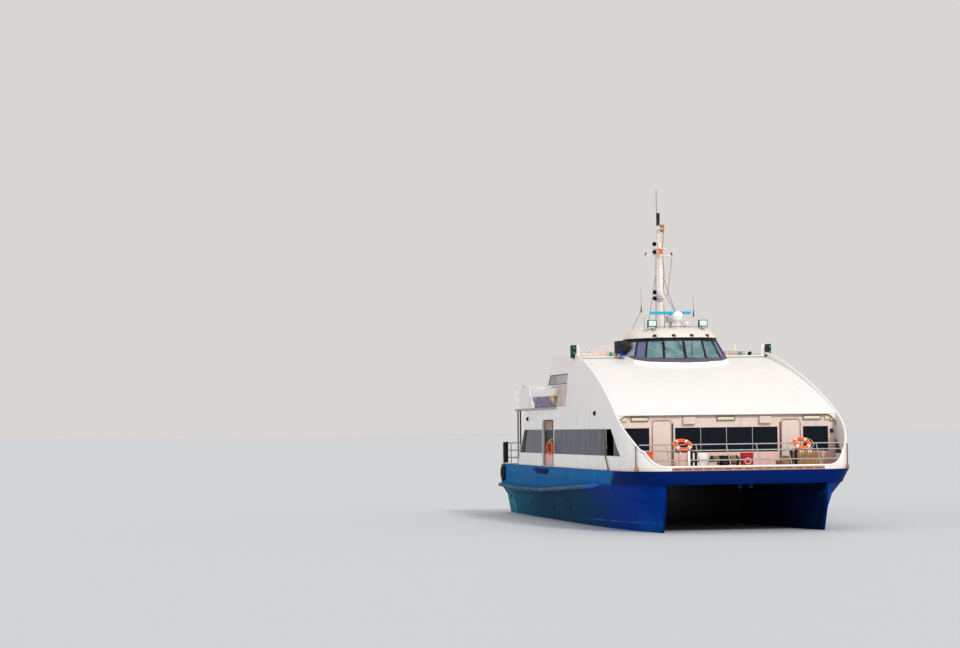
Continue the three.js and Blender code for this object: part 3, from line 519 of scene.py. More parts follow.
@dataclass(frozen=True)
class Pane:
    """Window glass: a tinted body whose tone changes from pane to pane, hard gloss and salt marks."""

    name: str
    slot: str
    colour: Colour
    alpha: float
    salt: float = 0.06
    steps: Sequence[tuple[float, float]] = ()
    other: Colour = (0.5, 0.52, 0.56)
    gloss: float = 0.4
    blur: float = 0.07

    def build(self) -> bpy.types.Material:
        """Builds the material."""
        s = Shader(self.name)
        marks = s.noise(2.4, 5.0, 0.6, (0.7, 0.7, 0.08))
        share = marks.ramp(0.45, 0.8) * self.salt * 2.0
        for at, change in self.steps:
            share = share + s.x.ramp(at - 0.004, at + 0.004) * change
        colour = s.blend(share.clamped(), self.colour, self.other)
        wave = s.bump(s.noise(0.8, 1.0), 0.003, 0.5)
        return s.surface(
            colour, roughness=(marks * self.salt + self.blur).clamped(), alpha=self.alpha, normal=wave,
            specular_level=self.gloss,
        )


@dataclass(frozen=True)
class HouseGlass:
    """Wheelhouse glazing: clear pale teal in front with whitish patches of painted sky reflection, dusky blue at the
    corners and lilac at the sides, each facet's tone partly tint and partly painted reflection.
    """

    name: str = "wheelhouse_glass"
    slot: str = "pale_glass"
    front: Colour = (0.16, 0.33, 0.36)
    corner: Colour = (0.1, 0.13, 0.27)
    flank: Colour = (0.62, 0.56, 0.72)
    black: Colour = (0.006, 0.012, 0.018)

    def build(self) -> bpy.types.Material:
        """Builds the material."""
        s = Shader(self.name)
        tilt = s.x + (s.z - 7.79) * 0.62
        reflection_haze = s.noise(1.7, 4.0, 0.6, (1.0, 1.0, 1.6))
        # Whitish patches on the glass: painted reflection of the sky.
        colour = s.blend(reflection_haze.ramp(0.42, 0.66) * 0.5, self.front, (0.42, 0.52, 0.56))
        # Tone of each facet: partly the glass's tint, partly painted reflection.
        colour = s.blend(tilt.ramp(3.42, 3.36), colour, self.corner)
        colour = s.blend(tilt.ramp(2.92, 2.86), colour, self.flank)
        colour = s.blend(s.x.ramp(1.9, 1.86), colour, self.black)
        clear = (0.5 + tilt.ramp(3.5, 3.3) * 0.42 + reflection_haze * 0.15).clamped()
        wave = s.bump(s.noise(1.2, 1.0), 0.003, 0.5)
        return s.surface(colour, roughness=(0.06 + reflection_haze * 0.08).clamped(), alpha=clear, normal=wave)


@dataclass(frozen=True)
class Rubber:
    """Scuffed rubber or matt plastic, with a second colour forward of a place on the ship."""

    name: str
    slot: str
    colour: Colour
    scuffed: Colour
    grain: float = 30.0
    forward: Colour | None = None
    turn: tuple[float, float] = (5.4, 6.2)

    def build(self) -> bpy.types.Material:
        """Builds the material."""
        s = Shader(self.name)
        scuff = s.noise(7.0, 5.0, 0.65, (0.6, 1.0, 1.4))
        grain = s.noise(self.grain, 3.0)
        colour = s.blend(scuff.ramp(0.46, 0.7) * 0.7, self.colour, self.scuffed)
        if self.forward is not None:
            colour = s.blend((s.x.ramp(*self.turn) * (0.8 + scuff * 0.3)).clamped(), colour, self.forward)
        return s.surface(
            colour, roughness=(0.6 + scuff * 0.25).clamped(), normal=s.bump(grain, 0.004, 0.6),
            specular_level=0.3,
        )


@dataclass(frozen=True)
class Metal:
    """Bare, brushed or cast metal with oxide blooms."""

    name: str
    slot: str
    colour: Colour
    oxide: Colour
    roughness: float = 0.32
    bloom: float = 0.5

    def build(self) -> bpy.types.Material:
        """Builds the material."""
        s = Shader(self.name)
        cloud = s.noise(5.0, 5.0, 0.6)
        grain = s.noise(60.0, 2.0, 0.5, (1.0, 1.0, 0.1))
        share = (cloud.ramp(0.42, 0.75) * self.bloom).clamped()
        colour = s.blend(share, self.colour, self.oxide)
        dull = (self.roughness + cloud * 0.25 + grain * 0.08).clamped()
        shine = (1.0 - share * 0.6).clamped()
        return s.surface(colour, roughness=dull, metallic=shine, normal=s.bump(grain, 0.0008, 0.4))


@dataclass(frozen=True)
class Striped:
    """Two paints in bands along one axis, with worn borders."""

    name: str
    slot: str
    colour: Colour
    bands: Colour
    axis: Axis
    spans: Sequence[tuple[float, float]]
    roughness: float = 0.5

    def build(self) -> bpy.types.Material:
        """Builds the material."""
        s = Shader(self.name)
        along = (s.x, s.y, s.z)[self.axis.value]
        wear = s.noise(11.0, 5.0, 0.66)
        share = s.z * 0.0
        for low, high in self.spans:
            share = share + along.between(low, high, 0.004)
        colour = s.blend(share.clamped(), self.colour, self.bands)
        colour = s.blend((wear.ramp(0.5, 0.74) * 0.4).clamped(), colour, (0.3, 0.24, 0.2))
        return s.surface(
            colour, roughness=(self.roughness + wear * 0.2).clamped(), normal=s.bump(wear, 0.002, 0.5)
        )


@dataclass(frozen=True)
class RaftPaint:
    """Raft canisters: white shells over a purple-blue netted lower half."""

    name: str = "raft_paint"
    slot: str = "white_paint"
    white: Colour = (0.9, 0.88, 0.9)
    purple: Colour = (0.13, 0.1, 0.2)
    pale: Colour = (0.34, 0.33, 0.5)

    def build(self) -> bpy.types.Material:
        """Builds the material."""
        s = Shader(self.name)
        wave = s.noise(5.0, 4.0, 0.6, (1.0, 1.0, 2.6))
        lower = (s.z + wave * 0.08).ramp(5.52, 5.5)
        cloth = s.blend(wave.ramp(0.4, 0.6), self.purple, self.pale)
        colour = s.blend(lower, self.white, cloth)
        colour = s.blend((s.noise(7.0, 5.0).ramp(0.52, 0.8) * 0.25).clamped(), colour, (0.42, 0.38, 0.34))
        return s.surface(colour, roughness=(0.36 + lower * 0.3).clamped(), normal=s.bump(wave * lower, 0.02, 0.8))


@dataclass(frozen=True)
class Glow:
    """A lit lens: coloured plastic that shines a little."""

    name: str
    slot: str
    colour: Colour
    power: float

    def build(self) -> bpy.types.Material:
        """Builds the material."""
        s = Shader(self.name)
        rib = s.noise(40.0, 2.0)
        colour = s.blend(rib.ramp(0.3, 0.7), self.colour, tuple(c * 0.7 for c in self.colour))
        return s.surface(
            colour, roughness=(0.2 + rib * 0.15).clamped(), normal=s.bump(rib, 0.001, 0.5),
            emission_color=colour, emission_strength=self.power,
        )


WINDOW_TONES = (
    (-7.8, 0.2), (-6.44, -0.03), (-5.2, 0.02), (-0.9, -0.05), (0.17, -0.02), (1.73, 0.02), (3.25, -0.03),
    (4.62, 0.02), (5.77, -0.03), (6.81, -0.02), (8.0, -0.05),
)
WHITE = ShipPaint("white_paint", "white_paint", (0.86, 0.86, 0.85), (0.6, 0.56, 0.52), 0.32, 0.16)
SHELL = WallPaint()
CABIN = CabinPaint("cabin_paint")
# This leaf darkens upwards and above 3.97 m: painted shade in the recessed doorway.
LEAF = CabinPaint("boarding_paint", high=(0.3, 0.22, 0.2), low=(0.8, 0.5, 0.46), lintel=3.97)
CREAM = ShipPaint("cream_paint", "cabin_white", (0.74, 0.62, 0.56), (0.5, 0.4, 0.32), 0.45, 0.35, 0.001, 0.0, 3.0)
HOUSE = HousePaint()
TUBE = ShipPaint("rail_paint", "bare_metal", (0.42, 0.4, 0.42), (0.26, 0.2, 0.18), 0.3, 0.5, 0.0006, 0.25, 5.0)
MAST = MastPaint()
HOUSE_ROOF = ShipPaint("house_roof", "white_paint", (0.78, 0.74, 0.69), (0.55, 0.48, 0.42), 0.4, 0.2)
PALE_PINK = ShipPaint("pale_pink", "white_paint", (0.72, 0.58, 0.52), (0.45, 0.34, 0.3), 0.5, 0.5, 0.002, 0.0, 3.0)
DECK = DeckPaint("deck_paint", "deck_paint", (0.42, 0.35, 0.31), (0.55, 0.47, 0.42))
HULL = HullPaint()
NAVY = ShipPaint("navy_paint", "hull_paint", (0.0006, 0.015, 0.075), (0.002, 0.03, 0.09), 0.8, 0.3)
TINTED = Pane("tinted_glass", "tinted_glass", (0.05, 0.058, 0.078), 0.97, 0.14, WINDOW_TONES, (0.36, 0.4, 0.46), 0.1,
              0.32)
UPPER_TINT = Pane(
    "upper_glass", "tinted_glass", (0.14, 0.11, 0.12), 0.95, 0.05, ((-1.35, 0.42), (-0.1, 0.1)), (0.5, 0.53, 0.58)
)
BLACK_PANE = Pane("black_glass", "black_glass", (0.01, 0.013, 0.02), 0.99, 0.03, (), (0.09, 0.09, 0.11), 0.01)
HOUSE_PANE = HouseGlass()
RUB_RAIL = Rubber("rub_rail", "rub_rail", (0.015, 0.08, 0.15), (0.13, 0.26, 0.36), 22.0, (0.002, 0.11, 0.5))
BLACK_RUBBER = Rubber("black_rubber", "rubber", (0.008, 0.008, 0.009), (0.05, 0.05, 0.05))
GASKET = Rubber("gasket", "rubber", (0.012, 0.011, 0.014), (0.06, 0.055, 0.06), 50.0)
BRONZE = Metal("bronze", "bronze", (0.52, 0.34, 0.16), (0.12, 0.28, 0.22), 0.34)
STEEL = Metal("bare_metal", "bare_metal", (0.74, 0.74, 0.73), (0.42, 0.4, 0.37), 0.3, 0.4)
ORANGE = ShipPaint("orange_shell", "orange_plastic", (0.9, 0.13, 0.02), (0.6, 0.12, 0.05), 0.42, 0.3, 0.0006, 0.0, 4.0)
RED = ShipPaint("red_box", "red_paint", (0.46, 0.012, 0.018), (0.35, 0.02, 0.02), 0.35, 0.3, 0.0008, 0.0, 4.0)
SKY = ShipPaint("sky_blue", "sky_blue_paint", (0.02, 0.42, 0.72), (0.2, 0.45, 0.6), 0.35, 0.2, 0.0006, 0.0, 4.0)
BLUE = ShipPaint("bright_blue", "sky_blue_paint", (0.002, 0.03, 0.5), (0.0, 0.01, 0.2), 0.4, 0.3, 0.001, 0.0, 4.0)
TAN = ShipPaint("tan_box", "box_brown", (0.36, 0.2, 0.085), (0.2, 0.12, 0.07), 0.55, 0.5, 0.002, 0.0, 3.0)
TAN_TUBE = ShipPaint("tan_tube", "box_brown", (0.2, 0.135, 0.09), (0.09, 0.06, 0.04), 0.5, 0.5, 0.001, 0.0, 5.0)
ROPE = Rubber("rope", "box_brown", (0.3, 0.2, 0.12), (0.5, 0.38, 0.26), 60.0)
WHITE_ROPE = Rubber("white_rope", "white_paint", (0.7, 0.66, 0.6), (0.45, 0.4, 0.34), 60.0)
COAMING = Striped(
    "coaming_paint", "white_paint", (0.54, 0.34, 0.23), (0.22, 0.13, 0.09), Axis.Z, ((2.44, 2.475),), 0.4
)
LENS = Glow("warm_lens", "pale_glass", (0.8, 0.76, 0.6), 0.08)
GREEN_LENS = Glow("green_lens", "pale_glass", (0.0, 0.3, 0.14), 0.3)
AMBER_LENS = Glow("amber_lens", "orange_plastic", (0.85, 0.12, 0.01), 0.4)
PALE_LENS = Glow("flood_lens", "pale_glass", (0.62, 0.8, 0.7), 0.25)
RAFT = RaftPaint()
CRATE_LID = ShipPaint("crate_lid", "box_brown", (0.5, 0.36, 0.22), (0.25, 0.15, 0.09), 0.55, 0.5, 0.002, 0.0, 3.0)
STREAKED = ShipPaint("streaked_panel", "cabin_white", (0.66, 0.58, 0.55), (0.3, 0.2, 0.15), 0.5, 1.4, 0.003, 0.0, 2.0)
PINK = ShipPaint("pink_cap", "red_paint", (0.7, 0.2, 0.2), (0.4, 0.1, 0.1), 0.45, 0.3, 0.001, 0.0, 4.0)
STRAW = ShipPaint("straw_paint", "white_paint", (0.72, 0.6, 0.34), (0.4, 0.3, 0.16), 0.4, 0.4, 0.001, 0.0, 4.0)
GREEN_CASE = ShipPaint("green_case", "pale_glass", (0.05, 0.36, 0.22), (0.02, 0.14, 0.09), 0.4, 0.3, 0.001, 0.0, 4.0)
HAZARD = Striped("raft_strap", "orange_plastic", (0.85, 0.55, 0.02), (0.01, 0.01, 0.01), Axis.X,
                 ((-1.68, -1.62), (-1.56, -1.5)), 0.5)


class Finishes:
    """Builds each finish once and hands out its material."""

    made: dict[str, bpy.types.Material] = {}

    @classmethod
    def get(cls, finish: Any) -> bpy.types.Material:
        """The material of a finish."""
        if finish.name not in cls.made:
            cls.made[finish.name] = finish.build()
        return cls.made[finish.name]


class Bench:
    """Modelling helpers: a primitive is added, shaped in edit mode and settled at the origin."""

    @staticmethod
    def clear() -> None:
        """Deselects every object."""
        for item in bpy.context.view_layer.objects:
            item.select_set(False)

    @classmethod
    def only(cls, piece: Piece) -> None:
        """Selects one object and makes it active."""
        cls.clear()
        piece.select_set(True)
        bpy.context.view_layer.objects.active = piece

    @classmethod
    def settle(cls, piece: Piece) -> None:
        """Moves an object's place, turn and scale into its mesh."""
        cls.only(piece)
        bpy.ops.object.transform_apply(location=True, rotation=True, scale=True)

    @classmethod
    def _added(cls, name: str) -> Piece:
        """Names and settles the object that an operator has just added."""
        piece = bpy.context.object
        piece.name = name
        cls.settle(piece)
        return piece

    @classmethod
    def block(cls, name: str, low: Point, high: Point) -> Piece:
        """A box to start from, between two corners.

        Args:
            name: the piece's name.
            low: its lowest corner.
            high: its highest corner.

        Returns:
            The piece.
        """
        cls.clear()
        bpy.ops.mesh.primitive_cube_add(size=1.0, location=(Vector(low) + Vector(high)) / 2)
        bpy.context.object.scale = Vector(high) - Vector(low)
        return cls._added(name)

    @classmethod
    def rod(cls, name: str, start: Point, end: Point, radius: float, tip: float | None = None,
            sides: int = 14) -> Piece:
        """A round bar or cone to start from, between two points.

        Args:
            name: the piece's name.
            start: the middle of its first end.
            end: the middle of its last end.
            radius: the radius at the start.
            tip: the radius at the end, where it differs.
            sides: its flat sides.

        Returns:
            The piece.
        """
        first, last = Vector(start), Vector(end)
        cls.clear()
        bpy.ops.mesh.primitive_cone_add(
            vertices=sides, radius1=radius, radius2=radius if tip is None else tip,
            depth=(last - first).length, location=(first + last) / 2,
        )
        bpy.context.object.rotation_euler = (last - first).to_track_quat("Z", "Y").to_euler()
        return cls._added(name)

    @classmethod
    def ring(cls, name: str, centre: Point, axis: Point, radius: float, tube: float, around: int = 32,
             across: int = 10, flat: float = 0.88) -> Piece:
        """A ring: a round section, flattened along the ring's axis and spun about it.

        Args:
            name: the piece's name.
            centre: its middle.
            axis: the direction that it faces.
            radius: from the middle to the section's middle.
            tube: the section's radius.
            around: steps round the ring.
            across: steps round the section.
            flat: the section's thickness along the axis, as a share of its width.

        Returns:
            The piece.
        """
        cls.clear()
        bpy.ops.mesh.primitive_circle_add(
            vertices=across, radius=tube, location=(radius, 0, 0), rotation=(math.pi / 2, 0, 0)
        )
        piece = cls._added(name)
        cls.only(piece)
        bpy.ops.object.mode_set(mode="EDIT")
        bpy.ops.mesh.select_all(action="SELECT")
        bpy.ops.transform.resize(value=(1, 1, flat), center_override=(radius, 0, 0))
        bpy.ops.mesh.spin(steps=around, angle=math.tau, center=(0, 0, 0), axis=(0, 0, 1))
        bpy.ops.object.mode_set(mode="OBJECT")
        piece.location = centre
        piece.rotation_euler = Vector(axis).to_track_quat("Z", "Y").to_euler()
        cls.settle(piece)
        return cls.tidy(piece)

    @classmethod
    def route(cls, name: str, points: Sequence[Point], radius: float, steps: int = 2, closed: bool = False) -> Piece:
        """A round tube along a row of points.

        Args:
            name: the piece's name.
            points: the middle of the tube.
            radius: the tube's radius.
            steps: roundness of its section.
            closed: True where it comes back to its start.

        Returns:
            The piece, as a mesh.
        """
        cls.clear()
        bpy.ops.curve.primitive_nurbs_path_add()
        curve = bpy.context.object.data
        curve.splines.clear()
        line = curve.splines.new("POLY")
        line.points.add(len(points) - 1)
        for point, place in zip(line.points, points):
            point.co = (*place, 1.0)
        line.use_cyclic_u = closed
        curve.bevel_depth = radius
        curve.bevel_resolution = steps
        curve.use_fill_caps = True
        bpy.ops.object.convert(target="MESH")
        piece = cls._added(name)
        cls.only(piece)
        bpy.ops.object.shade_smooth_by_angle(angle=math.radians(50))
        return piece

    @classmethod
    def faces(cls, piece: Piece, test: FaceTest) -> Vector:
        """Selects faces in edit mode and leaves the piece there.

        Args:
            piece: the object.
            test: takes a face's middle and normal, and says whether it is chosen.

        Returns:
            The middle of the chosen faces.
        """
        cls.only(piece)
        bpy.ops.object.mode_set(mode="EDIT")
        bpy.ops.mesh.select_mode(type="FACE")
        bpy.ops.mesh.select_all(action="DESELECT")
        bpy.ops.object.mode_set(mode="OBJECT")
        middles = []
        for face in piece.data.polygons:
            face.select = bool(test(face.center, face.normal))
            if face.select:
                middles.append(face.center.copy())
        bpy.ops.object.mode_set(mode="EDIT")
        return sum(middles, Vector()) / max(1, len(middles))

    @classmethod
    def push(cls, piece: Piece, test: FaceTest, shift: Point = (0, 0, 0), scale: Point = (1, 1, 1),
             extrude: bool = True) -> Piece:
        """Extrudes or moves the chosen faces, and scales them about their own middle.

        Args:
            piece: the object.
            test: chooses the faces.
            shift: how far they move.
            scale: how they scale after that.
            extrude: False to move the faces that are there.

        Returns:
            The piece.
        """
        middle = cls.faces(piece, test)
        if extrude:
            bpy.ops.mesh.extrude_region_move(TRANSFORM_OT_translate={"value": shift})
        else:
            bpy.ops.transform.translate(value=shift)
        bpy.ops.transform.resize(value=scale, center_override=middle + Vector(shift))
        bpy.ops.object.mode_set(mode="OBJECT")
        return piece

    @classmethod
    def inset(cls, piece: Piece, test: FaceTest, thickness: float, depth: float = 0.0) -> Piece:
        """Insets the chosen faces, and sinks (below 0) or raises them."""
        cls.faces(piece, test)
        bpy.ops.mesh.inset(thickness=thickness, depth=depth)
        bpy.ops.object.mode_set(mode="OBJECT")
        return piece

    @classmethod
    def tidy(cls, piece: Piece) -> Piece:
        """Merges doubles and turns every face outwards."""
        cls.only(piece)
        bpy.ops.object.mode_set(mode="EDIT")
        bpy.ops.mesh.select_all(action="SELECT")
        bpy.ops.mesh.remove_doubles(threshold=1e-5)
        bpy.ops.mesh.normals_make_consistent(inside=False)
        bpy.ops.object.mode_set(mode="OBJECT")
        return piece

    @classmethod
    def join(cls, name: str, parts: Sequence[Piece]) -> Piece:
        """Joins several objects into one piece."""
        cls.clear()
        for part in parts:
            part.select_set(True)
        bpy.context.view_layer.objects.active = parts[0]
        bpy.ops.object.join()
        parts[0].name = name
        return parts[0]

    @classmethod
    def copy(cls, piece: Piece, name: str, move: Point = (0, 0, 0), mirrored: bool = False) -> Piece:
        """Copies a piece with its own mesh, moved or mirrored across the ship's middle.

        Args:
            piece: the piece to copy.
            name: the copy's name.
            move: how far it moves.
            mirrored: True to mirror it in Y.

        Returns:
            The copy.
        """
        twin = piece.copy()
        twin.data = piece.data.copy()
        twin.name = name
        bpy.context.scene.collection.objects.link(twin)
        twin.location = move
        if mirrored:
            twin.scale = (1.0, -1.0, 1.0)
        cls.settle(twin)
        return cls.tidy(twin) if mirrored else twin

    @classmethod
    def modify(cls, piece: Piece, kind: str, **settings: Any) -> Piece:
        """Adds a modifier and applies it.

        Args:
            piece: the object.
            kind: the modifier's type.
            settings: its properties.

        Returns:
            The piece.
        """
        cls.only(piece)
        made = piece.modifiers.new(kind.lower(), kind)
        for name, value in settings.items():
            setattr(made, name, value)
        bpy.ops.object.modifier_apply(modifier=made.name)
        return piece

    @classmethod
    def cut(cls, piece: Piece, tool: Piece) -> Piece:
        """Cuts one object out of another, and removes the cutter."""
        cls.modify(piece, "BOOLEAN", operation="DIFFERENCE", object=tool, solver="EXACT")
        bpy.data.objects.remove(tool)
        return piece

    @classmethod
    def soften(cls, piece: Piece, width: float, segments: int = 2, angle: float = 32.0) -> Piece:
        """Rounds a piece's sharp edges and shades it smooth.

        Args:
            piece: the object.
            width: the bevel's width in metres.
            segments: the bevel's steps.
            angle: edges sharper than this, in degrees, are rounded.

        Returns:
            The piece.
        """
        if width > 0:
            cls.modify(
                piece, "BEVEL", width=width, segments=segments, limit_method="ANGLE",
                angle_limit=math.radians(angle), harden_normals=False,
            )
        cls.only(piece)
        bpy.ops.object.shade_smooth_by_angle(angle=math.radians(angle + 6.0))
        return piece

    @staticmethod
    def dress(piece: Piece, finish: Any, body: str = SHIP) -> Piece:
        """Gives a finished piece its material and body.

        Args:
            piece: the object.
            finish: its finish, which names the record's slot.
            body: the body that it rides on.

        Returns:
            The piece.
        """
        piece.data.materials.clear()
        piece.data.materials.append(Finishes.get(finish))
        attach(piece, body)
        LOG.info("%s: %d faces", piece.name, len(piece.data.polygons))
        return piece

    @classmethod
    def pair(cls, piece: Piece, finish: Any, body: str = SHIP) -> Piece:
        """Dresses a starboard piece and its mirrored port twin.

        Args:
            piece: the starboard piece, whose name ends in _starboard.
            finish: the finish of both.
            body: the starboard one's body; the twin rides on the port body of the same stem.

        Returns:
            The starboard piece.
        """
        twin = cls.copy(piece, piece.name.replace("_starboard", "_port"), mirrored=True)
        twin.data.materials.clear()
        smooth = piece.data.polygons[0].use_smooth
        if smooth:
            cls.only(twin)
            bpy.ops.object.shade_smooth_by_angle(angle=math.radians(38))
        cls.dress(twin, finish, body.replace("_starboard", "_port"))
        return cls.dress(piece, finish, body)

    @classmethod
    def end(cls, piece: Piece, finish: Any, width: float | None = 0.0, body: str = SHIP, segments: int = 2) -> Piece:
        """Rounds and dresses a piece, with its mirrored twin where its name ends in _starboard.

        Args:
            piece: the object.
            finish: its finish.
            width: the bevel's width in metres, or None to leave edges and shading alone.
            body: the body that it rides on.
            segments: the bevel's steps.

        Returns:
            The piece.
        """
        if width is not None:
            cls.soften(piece, width, segments)
        return (cls.pair if piece.name.endswith("_starboard") else cls.dress)(piece, finish, body)


def facing(axis: Axis, sign: int, share: float = 0.7) -> FaceTest:
    """A test for faces that look along an axis.

    Args:
        axis: the ship's axis.
        sign: 1 to look along it, -1 against it.
        share: how squarely they must face that way.

    Returns:
        The test.
    """
    return lambda middle, normal: normal[axis.value] * sign > share


TOP, CAP = facing(Axis.Z, 1), facing(Axis.Z, 1, STEEP)
FORE, NOSE = facing(Axis.X, 1), facing(Axis.X, 1, STEEP)
AFT, OUTER = facing(Axis.X, -1), facing(Axis.Y, -1)


@dataclass(frozen=True)
class Case:
    """A rounded box with a panel on one side: a housing, a locker, a sign board or a fitting."""

    name: str
    low: Point
    high: Point
    finish: Any
    edge: float = 0.012
    front: tuple[Axis, int] = (Axis.X, 1)
    margin: float = 0.03
    depth: float = -0.008

    def shape(self) -> Piece:
        """Makes the box, undressed."""
        piece = Bench.block(self.name, self.low, self.high)
        sizes = sorted(Vector(self.high) - Vector(self.low))
        Bench.inset(piece, facing(*self.front), min(self.margin, sizes[1] * 0.2), max(self.depth, -sizes[0] * 0.3))
        return Bench.soften(piece, min(self.edge, sizes[0] * 0.2))

    def build(self, body: str = SHIP) -> Piece:
        """Makes and dresses it, with its twin where its name ends in _starboard."""
        return Bench.end(self.shape(), self.finish, None, body)


@dataclass(frozen=True)
class Line:
    """A round tube, wire or moulding along a row of points."""

    name: str
    points: Sequence[Point]
    radius: float
    finish: Any
    closed: bool = False
    steps: int = 2

    def build(self, body: str = SHIP) -> Piece:
        """Makes and dresses it, with its twin where its name ends in _starboard."""
        piece = Bench.route(self.name, self.points, self.radius, self.steps, self.closed)
        return Bench.end(piece, self.finish, None, body)


@dataclass(frozen=True)
class Lamp:
    """A round lamp: a flanged housing with a domed lens."""

    name: str
    foot: Point
    axis: Point
    radius: float
    depth: float
    housing: Any
    lens: Any

    def build(self, body: str = SHIP) -> None:
        """Makes and dresses the housing and the lens."""
        axis = Vector(self.axis).normalized()
        foot = Vector(self.foot)
        top = foot + axis * self.depth
        stem = self.name.removesuffix("_starboard")
        tail = self.name[len(stem):]
        shell = Bench.rod(f"{stem}_housing{tail}", foot, top, self.radius, self.radius * 0.9, 20)
        Bench.inset(shell, lambda middle, normal: normal.dot(axis) > 0.9, self.radius * 0.16, -self.depth * 0.15)
        Bench.push(
            shell, lambda middle, normal: normal.dot(axis) < -0.9, tuple(axis * -0.002), (1.35, 1.35, 1.35)
        )
        wide = self.radius * 0.74
        lens = Bench.rod(f"{stem}_lens{tail}", tuple(top - axis * self.depth * 0.16), tuple(top), wide, wide, 18)
        for rise, share in ((0.16, 0.94), (0.12, 0.8), (0.07, 0.5)):
            Bench.push(
                lens, lambda middle, normal: normal.dot(axis) > 0.99, tuple(axis * self.radius * rise), (share,) * 3
            )
        Bench.end(shell, self.housing, self.radius * 0.06, body)
        Bench.end(lens, self.lens, 0.0, body)


class Skin:
    """Shapes taken over from the CAD nodes."""

    @staticmethod
    def copied(frame: dict, node: str, name: str) -> Piece:
        """A merged copy of a node's mesh, with its flat faces whole.

        Args:
            frame: the loaded frame.
            node: the CAD node's name.
            name: the copy's name.

        Returns:
            The copy.
        """
        piece = bpy.data.objects.new(name, frame["nodes"][node].data.copy())
        bpy.context.scene.collection.objects.link(piece)
        Bench.only(piece)
        bpy.ops.object.mode_set(mode="EDIT")
        bpy.ops.mesh.select_all(action="SELECT")
        bpy.ops.mesh.remove_doubles(threshold=1e-4)
        bpy.ops.mesh.dissolve_limited(angle_limit=math.radians(0.6), delimit={"NORMAL"})
        bpy.ops.object.mode_set(mode="OBJECT")
        return piece

    @classmethod
    def refined(cls, frame: dict, node: str, finish: Any, body: str = SHIP, width: float = 0.008) -> Piece:
        """A node's shape with rounded edges and smooth shading, which stands for the node.

        Args:
            frame: the loaded frame.
            node: the CAD node's name.
            finish: the piece's finish.
            body: the body that carries it.
            width: the bevel's width in metres.

        Returns:
            The piece.
        """
        piece = cls.copied(frame, node, f"{node}_skin")
        Bench.soften(piece, width)
        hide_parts(node)
        return Bench.dress(piece, finish, body)

    @classmethod
    def surround(cls, frame: dict, node: str, name: str, outward: tuple[Axis, int], width: float, proud: float,
                 finish: Any, body: str = SHIP) -> Piece:
        """A mitred frame round the outer face of a pane or a door.

        Args:
            frame: the loaded frame.
            node: the CAD node that it follows.
            name: the frame's name.
            outward: the axis and sign that the node's outer face looks along.
            width: the frame's width.
            proud: how far it stands off the face.
            finish: its finish.
            body: the body that carries it.

        Returns:
            The frame.
        """
        piece = cls.copied(frame, node, name)
        outer = facing(*outward)
        Bench.faces(piece, lambda middle, normal: not outer(middle, normal))
        bpy.ops.mesh.delete(type="FACE")
        bpy.ops.mesh.select_all(action="SELECT")
        bpy.ops.mesh.inset(thickness=width)
        bpy.ops.mesh.delete(type="FACE")
        bpy.ops.object.mode_set(mode="OBJECT")
        Bench.modify(piece, "SOLIDIFY", thickness=proud, offset=1.0)
        Bench.soften(piece, min(proud, width) * 0.3, 1)
        return Bench.dress(piece, finish, body)


@dataclass
class Studio:
    """Floor, light and the camera at the photograph's angle."""

    eye: Point = (105.089, -26.339, 4.11)
    yaw: float = 0.173
    pitch: float = 0.042
    roll: float = -0.0124
    focal_px: float = 2473.1
    frame_px: float = 960.0
    floor_size: float = 3000.0

    def build(self) -> None:
        """Adds the floor, the world, the lights and the camera."""
        bpy.context.scene.view_settings.view_transform = "Standard"
        self._floor()
        self._light()
        self._camera()

    def _floor(self) -> None:
        """A plain pale floor at the waterline."""
        Bench.clear()
        bpy.ops.mesh.primitive_plane_add(size=self.floor_size, location=(0.0, 0.0, WATERLINE))
        floor = bpy.context.object
        floor.name = "floor"
        floor.data.materials.append(Shader("floor_paint").surface((0.6, 0.64, 0.68), roughness=0.65))

    def _light(self) -> None:
        """A pale sky, a soft sun from ahead and a weak fill."""
        world = bpy.data.worlds.new("studio")
        bpy.context.scene.world = world
        world.use_nodes = True
        background = world.node_tree.nodes["Background"]
        background.inputs[0].default_value = (1.0, 0.957, 0.93, 1.0)
        background.inputs[1].default_value = 0.7
        for name, toward, energy, spread, colour in (
            ("key", (-0.8, -0.22, -0.56), 1.85, 8.0, (1.0, 0.96, 0.9)),
            ("fill", (-0.5, 0.8, -0.3), 0.35, 40.0, (0.95, 0.95, 1.0)),
        ):
            data = bpy.data.lights.new(name, "SUN")
            data.energy = energy
            data.angle = math.radians(spread)
            data.color = colour
            lamp = bpy.data.objects.new(name, data)
            lamp.rotation_euler = Vector(toward).to_track_quat("-Z", "Y").to_euler()
            bpy.context.scene.collection.objects.link(lamp)

    def _camera(self) -> None:
        """The camera, where the photograph's was."""
        forward = Vector((
            -math.cos(self.yaw) * math.cos(self.pitch),
            math.sin(self.yaw) * math.cos(self.pitch),
            math.sin(self.pitch),
        ))
        level_right = forward.cross(Vector((0, 0, 1))).normalized()
        level_up = level_right.cross(forward)
        right = math.cos(self.roll) * level_right + math.sin(self.roll) * level_up
        up = right.cross(forward)
        data = bpy.data.cameras.new("camera")
        data.sensor_width = 36.0
        data.sensor_fit = "HORIZONTAL"
        data.lens = self.focal_px / self.frame_px * data.sensor_width
        data.clip_end = 4000.0
        camera = bpy.data.objects.new("camera", data)
        basis = Matrix((right, up, -forward)).transposed().to_4x4()
        camera.matrix_world = Matrix.Translation(self.eye) @ basis
        bpy.context.scene.collection.objects.link(camera)
        bpy.context.scene.camera = camera


